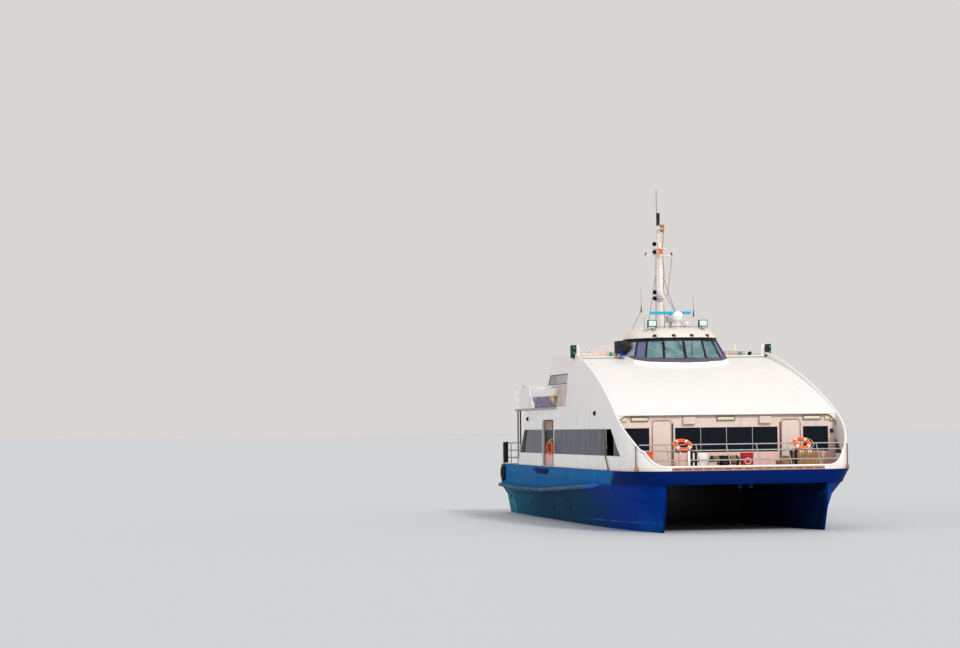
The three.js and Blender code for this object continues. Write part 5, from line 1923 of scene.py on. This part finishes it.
@dataclass
class UpperDeck:
    """Raft covers and cradles, the bay panels, rail gear and pillars."""

    raft_y: float = 4.08
    raft_z: float = 5.44
    raft_radius: float = 0.35
    raft_starts: Sequence[float] = (-6.5, -4.79, -3.08)
    raft_length: float = 1.56
    bay: tuple[float, float] = (-0.73, 1.04)

    def build(self) -> None:
        """Makes everything on the upper deck's edges."""
        self._rafts()
        self._bay_panel()
        self._rail_gear()
        self._aft_wall()

    def _rafts(self) -> None:
        """The rafts' white cover, end band and cradle arms."""
        arms = []
        y, z, radius = -self.raft_y, self.raft_z, self.raft_radius
        for start in self.raft_starts:
            for share in (0.1, 0.9):
                x = start + share * self.raft_length
                left = [(x, y - 0.33, z + 0.02), (x, y - 0.3, z - 0.2), (x, y - 0.2, z - 0.3), (x, y - 0.2, 4.99)]
                right = [(x, y + 0.2, 4.99), (x, y + 0.2, z - 0.3), (x, y + 0.3, z - 0.2), (x, y + 0.33, z + 0.02)]
                arms.append(Bench.route(f"arm_{x}", left + right, 0.022))
        Bench.pair(Bench.join("raft_cradles_starboard", arms), TUBE)
        cover = Bench.rod("raft_cover_starboard", (-6.45, y, 5.5), (-1.62, y, 5.5), 0.42, None, 48)
        for sign in (-1, 1):
            Bench.push(cover, facing(Axis.X, sign, STEEP), (sign * 0.07, 0, 0), (1, 0.8, 0.8))
        Bench.cut(cover, Bench.block("below", (-7.0, y - 1.0, 4.9), (-1.0, y + 1.0, 5.49)))
        Bench.end(cover, WHITE, 0.02, segments=3)
        end = self.raft_starts[-1] + self.raft_length
        tag = Bench.rod("raft_tag_starboard", (end - 0.85, y, z), (end - 0.03, y, z), radius + 0.004, None, 32)
        Bench.end(tag, HAZARD, 0.004)

    def _bay_panel(self) -> None:
        """A weathered panel on the wall before the raft bay."""
        low, high = self.bay
        panel = Bench.block("bay_panel_starboard", (low, -4.52, 5.0), (high, -4.49, 5.93))
        Bench.push(panel, TOP, (0, 0.095, 0), extrude=False)
        Bench.inset(panel, lambda middle, normal: normal.y < -0.9, 0.04, -0.004)
        Bench.end(panel, STREAKED, 0.004)

    def _rail_gear(self) -> None:
        """Pillars under the deck's after end, panel ribs, a pink cap and two lifebuoys aft."""
        pillar = Bench.rod("deck_pillar_starboard", (-10.1, -4.32, 2.39), (-10.1, -4.32, 4.89), 0.035, None, 16)
        for sign in (-1, 1):
            Bench.push(pillar, facing(Axis.Z, sign, STEEP), (0, 0, 0.0), (2.0, 2.0, 1))
            Bench.push(pillar, facing(Axis.Z, sign, STEEP), (0, 0, sign * 0.012))
        Bench.end(pillar, BLACK_RUBBER, 0.004)
        ribs = []
        for index in range(9):
            x = -8.95 + index * 0.27
            rib = Bench.block(f"rib_{index}", (x - 0.015, -4.535, 5.05), (x + 0.015, -4.529, 5.9))
            Bench.push(rib, OUTER, (0, -0.004, 0), (0.6, 1, 0.98))
            ribs.append(rib)
        Bench.end(Bench.join("bulwark_ribs_starboard", ribs), WHITE)
        cap = Bench.rod("rail_cap_starboard", (-8.23, -4.51, 5.97), (-8.23, -4.51, 6.06), 0.05, 0.03)
        Bench.push(cap, facing(Axis.Z, -1, STEEP), (0, 0, -0.03), (0.7, 0.7, 1))
        Bench.end(cap, PINK, 0.006)
        for index, y in enumerate((-3.2, 3.2)):
            ring = Bench.ring(f"aft_buoy_{index}", (-10.24, y, 5.5), (1, 0, 0), 0.29, 0.065, 36, 12)
            Bench.end(ring, ORANGE)
            hooks = [Bench.route(f"hook_{s}", ((-10.16, y + s, 5.64), (-10.24, y + s, 5.6), (-10.32, y + s, 5.6),
                                               (-10.33, y + s, 5.66)), 0.01) for s in (-0.1, 0.1)]
            Bench.dress(Bench.join(f"aft_buoy_hooks_{index}", hooks), STEEL)

    def _aft_wall(self) -> None:
        """Windows, door gear and lamps on the upper deck's after wall."""
        for index, y in enumerate((-3.1, -1.4, 2.6)):
            Window(f"upper_aft_window_{index}", -2.5, (y - 0.45, y + 0.45), (5.9, 6.6)).build()
        Handle("upper_door_handle", (-2.5, 1.22, 6.0), "upper_door").build()
        for index, y in enumerate((-2.2, 0.2, 2.0)):
            Lamp(f"upper_aft_lamp_{index}", (-2.5, y, 6.85), (-1, 0, -0.2), 0.08, 0.06, WHITE, LENS).build()


@dataclass(frozen=True)
class Window:
    """A window on a wall that faces aft: rubber frame, dark pane and drip strip."""

    name: str
    face: float
    across: tuple[float, float]
    up: tuple[float, float]

    def build(self) -> None:
        """Makes the frame, the pane and the strip."""
        (y0, y1), (z0, z1) = self.across, self.up
        frame = Bench.block(f"{self.name}_frame", (self.face - 0.02, y0, z0), (self.face, y1, z1))
        Bench.inset(frame, AFT, 0.045, -0.012)
        Bench.end(frame, GASKET, 0.006)
        pane = Bench.block(f"{self.name}_pane", (self.face - 0.014, y0 + 0.04, z0 + 0.04),
                           (self.face - 0.006, y1 - 0.04, z1 - 0.04))
        Bench.inset(pane, AFT, 0.02, 0.001)
        Bench.end(pane, BLACK_PANE)
        back, out, low, high = self.face - 0.004, self.face - 0.03, z1 + 0.03, z1 + 0.045
        Line(f"{self.name}_drip", (
            (back, y0 - 0.06, low), (out, y0 - 0.04, high), (out, y1 + 0.04, high), (back, y1 + 0.06, low)),
            0.01, WHITE).build()


@dataclass(frozen=True)
class Handle:
    """A lever handle and kick plate on a door that faces aft."""

    name: str
    at: Point
    body: str

    def build(self) -> None:
        """Makes the rose, the lever and the plate."""
        x, y, z = self.at
        rose = Bench.rod("rose", (x, y, z), (x - 0.016, y, z), 0.032, 0.026)
        lever = Bench.route("lever", (
            (x, y, z), (x - 0.045, y, z), (x - 0.05, y - 0.04, z), (x - 0.05, y - 0.14, z)), 0.01)
        Bench.end(Bench.join(self.name, [rose, lever]), STEEL, body=self.body)
        plate = Bench.block(f"{self.name}_plate", (x - 0.004, y - 0.7, z - 0.9), (x + 0.001, y + 0.06, z - 0.68))
        Bench.push(plate, AFT, (-0.002, 0, 0), (1, 0.98, 0.94))
        Bench.end(plate, STEEL, 0.001, body=self.body, segments=1)
        pane = Bench.block(f"{self.name}_light", (x - 0.006, y - 0.55, z + 0.1), (x + 0.001, y - 0.1, z + 0.72))
        Bench.inset(pane, AFT, 0.03, -0.003)
        Bench.end(pane, BLACK_PANE, 0.0015, body=self.body, segments=1)


@dataclass
class Wheelhouse:
    """Visor moulding, wipers, roof gear, the wing box and the helm's screens."""

    motors: Sequence[Point] = ((3.66, -1.14, 7.905), (3.955, -0.39, 7.905), (3.955, 0.39, 7.905), (3.66, 1.14, 7.905))
    tips: Sequence[Point] = ((4.16, -0.8, 7.37), (4.29, -0.1, 7.28), (4.31, 0.3, 7.23), (3.98, 1.59, 7.08))
    visor: Sequence[tuple[float, float]] = (
        (1.25, 1.955), (1.96, 1.935), (2.87, 1.755), (3.41, 1.43), (3.94, 0.845), (4.01, 0.0))

    def build(self) -> None:
        """Makes all the wheelhouse gear."""
        edge = [(x + 0.008, -y - 0.008, 7.8) for x, y in self.visor]
        rim = edge + [(x, -y, z) for x, y, z in reversed(edge[:-1])]
        Line("visor_moulding", rim, 0.016, GASKET).build()
        self._wipers()
        self._floods()
        self._roof_gear()
        self._wing()
        self._aft_side()
        self._screens()

    def _wipers(self) -> None:
        """Four wipers: motor case, arm and blade."""
        for index, (foot, tip) in enumerate(zip(self.motors, self.tips)):
            x, y, z = foot
            case = Bench.block(f"wiper_motor_{index}", (x - 0.06, y - 0.07, z - 0.05), (x + 0.05, y + 0.07, z + 0.05))
            Bench.push(case, FORE, (0.02, 0, -0.005), (1, 0.7, 0.7))
            Bench.end(case, BLACK_RUBBER, 0.012)
            way = Vector(tip) - Vector(foot)
            mid = Vector(foot) + way * 0.25 + Vector((0.09, 0, 0))
            Line(f"wiper_arm_{index}", ((x + 0.05, y, z), tuple(mid), tip), 0.012, GASKET).build()
            side = way.normalized() * 0.2
            blade = [tuple(Vector(tip) + side * share + Vector((-0.012, 0, 0))) for share in (-1.6, 0.0, 1.0)]
            Line(f"wiper_blade_{index}", blade, 0.011, BLACK_RUBBER, steps=1).build()

    def _floods(self) -> None:
        """Two floodlights on U brackets, and the roof's handrail."""
        for index, y in enumerate((-1.15, 1.07)):
            case = Bench.block(f"flood_case_{index}", (3.16, y - 0.185, 8.3), (3.34, y + 0.185, 8.58))
            Bench.push(case, AFT, (-0.06, 0, 0), (1, 0.6, 0.6))
            Bench.inset(case, FORE, 0.03, -0.02)
            Bench.end(case, GASKET, 0.01)
            glass = Bench.block(f"flood_glass_{index}", (3.322, y - 0.158, 8.328), (3.332, y + 0.158, 8.552))
            Bench.push(glass, FORE, (0.006, 0, 0), (1, 0.9, 0.9))
            Bench.end(glass, PALE_LENS, 0.003)
            Line(f"flood_bracket_{index}", (
                (3.25, y - 0.2, 8.44), (3.25, y - 0.2, 8.25), (3.25, y, 8.24), (3.25, y, 8.06), (3.25, y, 8.24),
                (3.25, y + 0.2, 8.25), (3.25, y + 0.2, 8.44)), 0.012, GASKET).build()
        rail = [Bench.route("rail", ((3.3, -1.05, 8.1), (3.35, -1.05, 8.28), (3.36, 0.0, 8.3), (3.35, 1.0, 8.28),
                                     (3.3, 1.0, 8.1)), 0.011)]
        for y in (-0.7, -0.25, 0.25, 0.7):
            rail.append(Bench.route(f"stanchion_{y}", ((3.33, y, 8.2), (3.36, y, 8.29)), 0.009, 1))
        Bench.dress(Bench.join("roof_handrail", rail), GASKET)

    def _roof_gear(self) -> None:
        """Whip aerials, a horn, the dome's foot and seam, a small aerial, a stay and a hatch."""
        for name, y, pole, top in (("left", -1.16, 9.0, 10.04), ("right", 1.16, 8.8, 9.81)):
            foot = Bench.rod(f"whip_foot_{name}", (1.4, y, 8.22), (1.4, y, 8.3), 0.06, 0.04, 16)
            Bench.push(foot, CAP, (0, 0, 0.06), (0.7, 0.7, 1))
            Bench.end(foot, WHITE, 0.006)
            Line(f"whip_pole_{name}", ((1.4, y, 8.26), (1.4, y, pole)), 0.024, CREAM).build()
            base = Bench.rod(f"whip_base_{name}", (1.4, y, pole), (1.4, y, pole + 0.27), 0.032, 0.018, 12)
            Bench.push(base, CAP, (0, 0, 0.03), (0.6, 0.6, 1))
            Bench.end(base, GASKET, 0.004)
            rod = Bench.rod(f"whip_{name}", (1.4, y, pole + 0.28), (1.4, y, top), 0.008, 0.003, 8)
            Bench.inset(rod, CAP, 0.001, 0.002)
            Bench.end(rod, GASKET)
        Line("whip_stay", ((1.4, -1.16, 9.08), (1.42, -1.6, 8.22)), 0.008, GASKET).build()
        Line("small_aerial", ((1.5, -1.05, 8.22), (1.5, -1.05, 8.78)), 0.012, SKY).build()
        horn = Bench.rod("horn", (2.86, 0.39, 8.5), (3.2, 0.39, 8.5), 0.026, 0.06, 20)
        Bench.push(horn, NOSE, (0.05, 0, 0), (1.5, 1.5, 1.5))
        Bench.inset(horn, NOSE, 0.008, -0.1)
        post = Bench.rod("horn_post", (2.95, 0.39, 8.22), (2.95, 0.39, 8.48), 0.02)
        Bench.end(Bench.join("roof_horn", [horn, post]), WHITE, 0.003)
        foot = Bench.rod("dome_foot", (3.08, 0.02, 8.22), (3.08, 0.02, 8.28), 0.16, 0.12, 24)
        Bench.inset(foot, CAP, 0.02, 0.01)
        Bench.end(foot, STRAW, 0.006)
        band = Bench.ring("dome_seam", (3.08, 0.02, 8.72), (0, 0, 1), 0.236, 0.006, 40, 6)
        Bench.end(band, CREAM)
        panel = Bench.block("roof_hatch", (1.9, -0.9, 8.22), (2.5, -0.35, 8.25))
        Bench.push(panel, TOP, (0, 0, 0.015), (0.94, 0.94, 1))
        Bench.end(panel, CREAM, 0.006)

    def _wing(self) -> None:
        """The black box beside the wheelhouse, with its wedge front, and the blue case before it."""
        box = Bench.block("wing_box", (1.5, -2.4, 7.22), (2.35, -1.96, 7.75))
        Bench.push(box, FORE, (0.65, 0.12, -0.03), (1, 0.3, 0.1))
        Bench.inset(box, OUTER, 0.05, -0.012)
        Bench.end(box, BLACK_RUBBER, 0.02)
        legs = [Bench.route(f"leg_{x}_{y}", ((x, y, 7.1), (x, y, 7.24)), 0.022, 1)
                for x in (1.6, 2.25) for y in (-2.32, -2.04)]
        Bench.dress(Bench.join("wing_box_legs", legs), GASKET)
        Case("blue_case", (2.36, -2.34, 7.12), (2.5, -2.16, 7.46), BLUE, 0.02, (Axis.X, 1), 0.03, -0.008).build()

    def _aft_side(self) -> None:
        """A door outline and lever on the wheelhouse's after side."""
        door = Bench.block("house_door", (1.23, 0.5, 7.12), (1.25, 1.2, 7.74))
        Bench.inset(door, AFT, 0.05, -0.006)
        Bench.end(door, WHITE, 0.006)
        lever = Bench.route("house_lever", (
            (1.235, 1.12, 7.4), (1.19, 1.12, 7.4), (1.18, 1.08, 7.4), (1.18, 0.98, 7.4)), 0.01)
        Bench.dress(lever, STEEL)

    def _screens(self) -> None:
        """Blank screens and a wheel on the helm console."""
        for index, y in enumerate((-0.85, -0.28, 0.28, 0.85)):
            screen = Bench.block(f"helm_screen_{index}", (3.0, y - 0.22, 7.33), (3.05, y + 0.22, 7.6))
            Bench.inset(screen, AFT, 0.02, -0.006)
            Bench.end(screen, GASKET, 0.006)
        wheel = Bench.ring("helm_wheel", (1.78, 0.0, 7.2), (-0.9, 0, 0.3), 0.16, 0.014, 32, 8)
        hub = Bench.rod("hub", (1.78, 0.0, 7.2), (1.95, 0.0, 7.12), 0.03)
        bars = [Bench.route(f"bar_{i}", (
            (1.78 + 0.05 * math.cos(a), 0.155 * math.sin(a), 7.2 + 0.148 * math.cos(a)), (1.78, 0.0, 7.2)), 0.009, 1)
            for i, a in enumerate((0.0, 2.1, 4.2))]
        Bench.end(Bench.join("helm_wheel", [wheel, hub, *bars]), BLACK_RUBBER)


@dataclass
class RoofDeck:
    """Lamp boards, boxes, lockers and vents on the roof deck."""

    boxes: Sequence[Case] = field(default_factory=lambda: [
        Case("side_light_board_starboard", (1.72, -4.38, 7.04), (2.2, -4.2, 7.58), GASKET, 0.01, (Axis.Y, -1), 0.02),
        Case("board_post_starboard", (1.72, -4.18, 7.08), (1.9, -4.02, 7.58), WHITE, 0.008),
        Case("left_roof_box", (0.1, -3.26, 7.1), (0.6, -1.8, 7.38), PALE_PINK, 0.03, (Axis.Z, 1), 0.06),
        Case("left_green_case", (0.6, -2.42, 7.16), (0.66, -2.27, 7.31), GREEN_CASE, 0.01),
        Case("right_roof_box", (0.1, 2.82, 7.1), (0.6, 3.76, 7.36), PALE_PINK, 0.03, (Axis.Z, 1), 0.06),
        Case("right_green_case", (0.6, 3.38, 7.16), (0.66, 3.52, 7.28), GREEN_CASE, 0.01),
        Case("roof_vent_box_starboard", (-1.9, -1.6, 7.1), (-1.2, -0.8, 7.45), WHITE, 0.03, (Axis.X, -1), 0.06, -0.02),
    ])

    def build(self) -> None:
        """Makes everything on the roof deck."""
        for box in self.boxes:
            box.build()
        for index, z in enumerate((7.24, 7.46)):
            Lamp(f"side_light_{index}_starboard", (2.2, -4.29, z), (1, -0.3, 0), 0.06, 0.07, GASKET, GREEN_LENS).build()
        tube = Bench.rod("roof_tube", (1.5, -3.97, 7.18), (1.5, -3.09, 7.18), 0.085, None, 22)
        for sign in (-1, 1):
            Bench.push(tube, facing(Axis.Y, sign, STEEP), (0, sign * 0.02, 0), (0.7, 0.7, 0.7))
        Bench.end(tube, CREAM, 0.008)
        straps = [Bench.ring(f"strap_{y}", (1.5, y, 7.18), (0, 1, 0), 0.088, 0.01, 24, 6)
                  for y in (-3.8, -3.53, -3.26)]
        Bench.end(Bench.join("roof_tube_straps", straps), STEEL)
        for index, (x, y) in enumerate(((-0.9, -2.8), (-0.9, 2.8), (-1.8, 2.2))):
            vent = Bench.rod(f"roof_mushroom_{index}", (x, y, 7.1), (x, y, 7.32), 0.07, None, 20)
            Bench.push(vent, CAP, (0, 0, 0), (2.0, 2.0, 1))
            Bench.push(vent, CAP, (0, 0, 0.06), (0.75, 0.75, 1))
            Bench.end(vent, WHITE, 0.01)
        frame = Bench.route("left_table_frame", (
            (0.4, -2.72, 7.36), (0.4, -2.72, 7.56), (0.4, -2.32, 7.56), (0.4, -2.32, 7.36)), 0.028)
        Bench.dress(frame, WHITE)
        cone = Bench.rod("right_cone_aerial", (0.4, 3.28, 7.36), (0.4, 3.28, 7.62), 0.05, 0.015, 18)
        Bench.push(cone, CAP, (0, 0, 0.06), (0.6, 0.6, 1))
        Bench.end(cone, WHITE, 0.004)
        Lamp("right_roof_lamp", (0.6, 3.86, 7.2), (1, 0.2, 0.6), 0.07, 0.12, GASKET, BLACK_PANE).build()
        slots = [Bench.block(f"slot_{z}", (0.6, 2.9, z), (0.606, 3.68, z + 0.012)) for z in (7.17, 7.23, 7.29)]
        for slot in slots:
            Bench.push(slot, FORE, (0.002, 0, 0), (1, 0.99, 0.6))
        Bench.dress(Bench.join("right_box_slots", slots), GASKET)


@dataclass
class Mast:
    """Lamps, stays and the cable on the mast."""

    stays: Sequence[tuple[str, Point, Point]] = (
        ("yard_stay", (0.02, 0.6, 11.5), (0.35, 0.28, 9.75)),
        ("fore_stay", (0.1, 0.2, 9.9), (2.9, 0.4, 8.22)),
        ("left_stay", (0.05, -0.17, 10.6), (0.6, -0.9, 7.12)),
        ("right_stay", (0.05, 0.17, 10.6), (0.3, 1.3, 7.12)),
    )

    def build(self) -> None:
        """Makes the mast's fittings."""
        for name, start, end in self.stays:
            Line(name, (start, end), 0.009, GASKET).build()
        for index, (y, z) in enumerate(((-0.22, 9.94), (-0.22, 9.67), (-0.2, 12.05), (-0.2, 11.7))):
            Lamp(f"mast_lamp_{index}", (0.08, y, z), (1, -0.2, 0), 0.075, 0.13, GASKET, BLACK_PANE).build()
        cap = Bench.rod("anchor_lamp", (0.34, 0.01, 11.6), (0.34, 0.01, 11.78), 0.075, None, 20)
        Bench.push(cap, CAP, (0, 0, 0), (1.5, 1.5, 1))
        Bench.push(cap, CAP, (0, 0, 0.03), (0.7, 0.7, 1))
        Bench.end(cap, AMBER_LENS, 0.005)
        drum = Bench.rod("search_lamp", (0.06, 0.16, 12.6), (0.06, 0.16, 12.88), 0.085, 0.1, 20)
        for sign in (-1, 1):
            Bench.push(drum, facing(Axis.Z, sign, STEEP), (0, 0, sign * 0.03), (0.7, 0.7, 1))
        Bench.end(drum, TAN, 0.005)
        for index, y in enumerate((-0.6, 0.6)):
            Lamp(f"yard_lamp_{index}", (0.0, y, 11.58), (0, 0, 1), 0.05, 0.1, GASKET, BLACK_PANE).build()
        Lamp("platform_lamp", (0.3, 0.0, 9.82), (1, 0, 0), 0.085, 0.12, WHITE, LENS).build()
        knobs = []
        for low, high, radius in ((12.88, 13.1, 0.075), (13.14, 13.2, 0.055), (13.24, 13.36, 0.06)):
            knob = Bench.rod(f"knob_{low}", (0.08, -0.03, low), (0.08, -0.03, high), radius, radius * 0.9, 18)
            Bench.push(knob, CAP, (0, 0, 0.015), (0.6, 0.6, 1))
            knobs.append(knob)
        Bench.end(Bench.join("top_lamps", knobs), GASKET, 0.006)
        cable = [(0.0, 0.2 - 0.03 * math.sin(i * 0.9), 7.3 + i * 0.28) for i in range(20)]
        Line("mast_cable", cable, 0.012, GASKET).build()


@dataclass
class AftDecks:
    """Bollards, lockers, stair rails, windows, a fire bottle and lamps at the after end."""

    def build(self) -> None:
        """Makes the after end's gear, on the usual plan of such ferries."""
        self._wall()
        self._deck()
        self._stairs()

    def _wall(self) -> None:
        """Windows, door gear, lamps and a fire bottle on the saloon's after wall."""
        for index, (low, high) in enumerate(((-4.0, -2.9), (-2.5, -1.4), (-1.0, 0.1), (2.0, 3.1))):
            Window(f"aft_window_{index}", -7.6, (low, high), (3.3, 4.1)).build()
        Handle("aft_door_handle", (-7.6, 1.22, 3.4), "aft_door").build()
        for index, y in enumerate((-3.4, 0.9, 3.6)):
            Lamp(f"aft_lamp_{index}", (-7.6, y, 4.55), (-1, 0, -0.2), 0.09, 0.07, WHITE, LENS).build()
        bottle = Bench.rod("extinguisher", (-7.68, 3.75, 2.75), (-7.68, 3.75, 3.2), 0.07, None, 20)
        Bench.push(bottle, CAP, (0, 0, 0.05), (0.4, 0.4, 1))
        Bench.push(bottle, CAP, (0, 0, 0.06))
        Bench.end(bottle, RED, 0.012)

    def _deck(self) -> None:
        """Mooring bollards and life-jacket lockers."""
        posts = []
        for y in (-3.95, -3.65):
            post = Bench.rod(f"post_{y}", (-12.2, y, 2.38), (-12.2, y, 2.72), 0.07, 0.065, 20)
            Bench.push(post, CAP, (0, 0, 0.01), (1.3, 1.3, 1))
            Bench.push(post, CAP, (0, 0, 0.03), (0.9, 0.9, 1))
            posts.append(post)
        plate = Bench.block("plate", (-12.34, -4.1, DECK_TOP), (-12.06, -3.5, 2.395))
        Bench.push(plate, TOP, (0, 0, 0.01), (0.9, 0.95, 1))
        Bench.end(Bench.join("aft_bollards_starboard", [*posts, plate]), BLACK_RUBBER, 0.005)
        for name, low, high in (("locker", (-11.2, 2.9, DECK_TOP), (-10.5, 4.2, 2.95)),
                                ("bench_locker", (-11.2, 0.3, DECK_TOP), (-10.6, 2.2, 2.82))):
            Case(f"aft_{name}", low, high, WHITE, 0.02, (Axis.X, -1), 0.05, -0.01).build()
            (x0, y0, _), (x1, y1, top) = low, high
            Case(f"aft_{name}_lid", (x0 - 0.03, y0 - 0.02, top - 0.004), (x1 + 0.02, y1 + 0.02, top + 0.04),
                 CREAM, 0.015, (Axis.Z, 1), 0.04, -0.006).build()

    def _stairs(self) -> None:
        """Handrails and tread nosings of the after stairs."""
        for index, y in enumerate((-2.62, -1.78)):
            rail = [
                Bench.route("rail", ((-12.45, y, 2.4), (-12.45, y, 3.28), (-12.38, y, 3.36), (-10.36, y, 5.9),
                                     (-10.25, y, 5.96)), 0.021),
                Bench.route("low_rail", ((-12.45, y, 2.95), (-12.38, y, 3.0), (-10.3, y, 5.5)), 0.014),
            ]
            for share in (0.33, 0.66):
                x = -12.38 + share * 2.02
                z = 3.36 + share * 2.54
                rail.append(Bench.route(f"stanchion_{share}", ((x, y, z - 0.95), (x, y, z)), 0.016, 1))
            Bench.dress(Bench.join(f"stair_rail_{index}", rail), TUBE)
        strips = []
        for step in range(10):
            share = (step + 0.5) / 10
            x, z = -12.4 + share * 2.1, 2.37 + share * 2.61
            strip = Bench.block(f"nosing_{step}", (x - 0.11, -2.56, z + 0.02), (x - 0.06, -1.84, z + 0.024))
            Bench.push(strip, TOP, (0, 0, 0.003), (0.8, 0.99, 1))
            strips.append(strip)
        Bench.dress(Bench.join("stair_nosings", strips), GASKET)


@dataclass
class Underwater:
    """Intake grilles below the waterline."""

    def build(self) -> None:
        """Makes the underwater trim."""
        for index, x in enumerate((-8.0, -2.0)):
            Case(f"sea_grille_{index}_starboard", (x, -3.6, -1.02), (x + 0.3, -3.3, -0.99), STEEL, 0.006,
                 (Axis.Z, -1), 0.03, -0.006).build()


def main() -> None:
    logging.basicConfig(level=logging.INFO, format="%(message)s")
    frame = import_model()
    Studio().build()
    for part in (
        Structure(frame), HullFittings(), Shell(frame), FrontBulkhead(), Foredeck(), UpperDeck(), Wheelhouse(),
        RoofDeck(), Mast(), AftDecks(), Underwater(),
    ):
        LOG.info("-- %s", type(part).__name__)
        part.build()


if __name__ == "__main__":
    main()
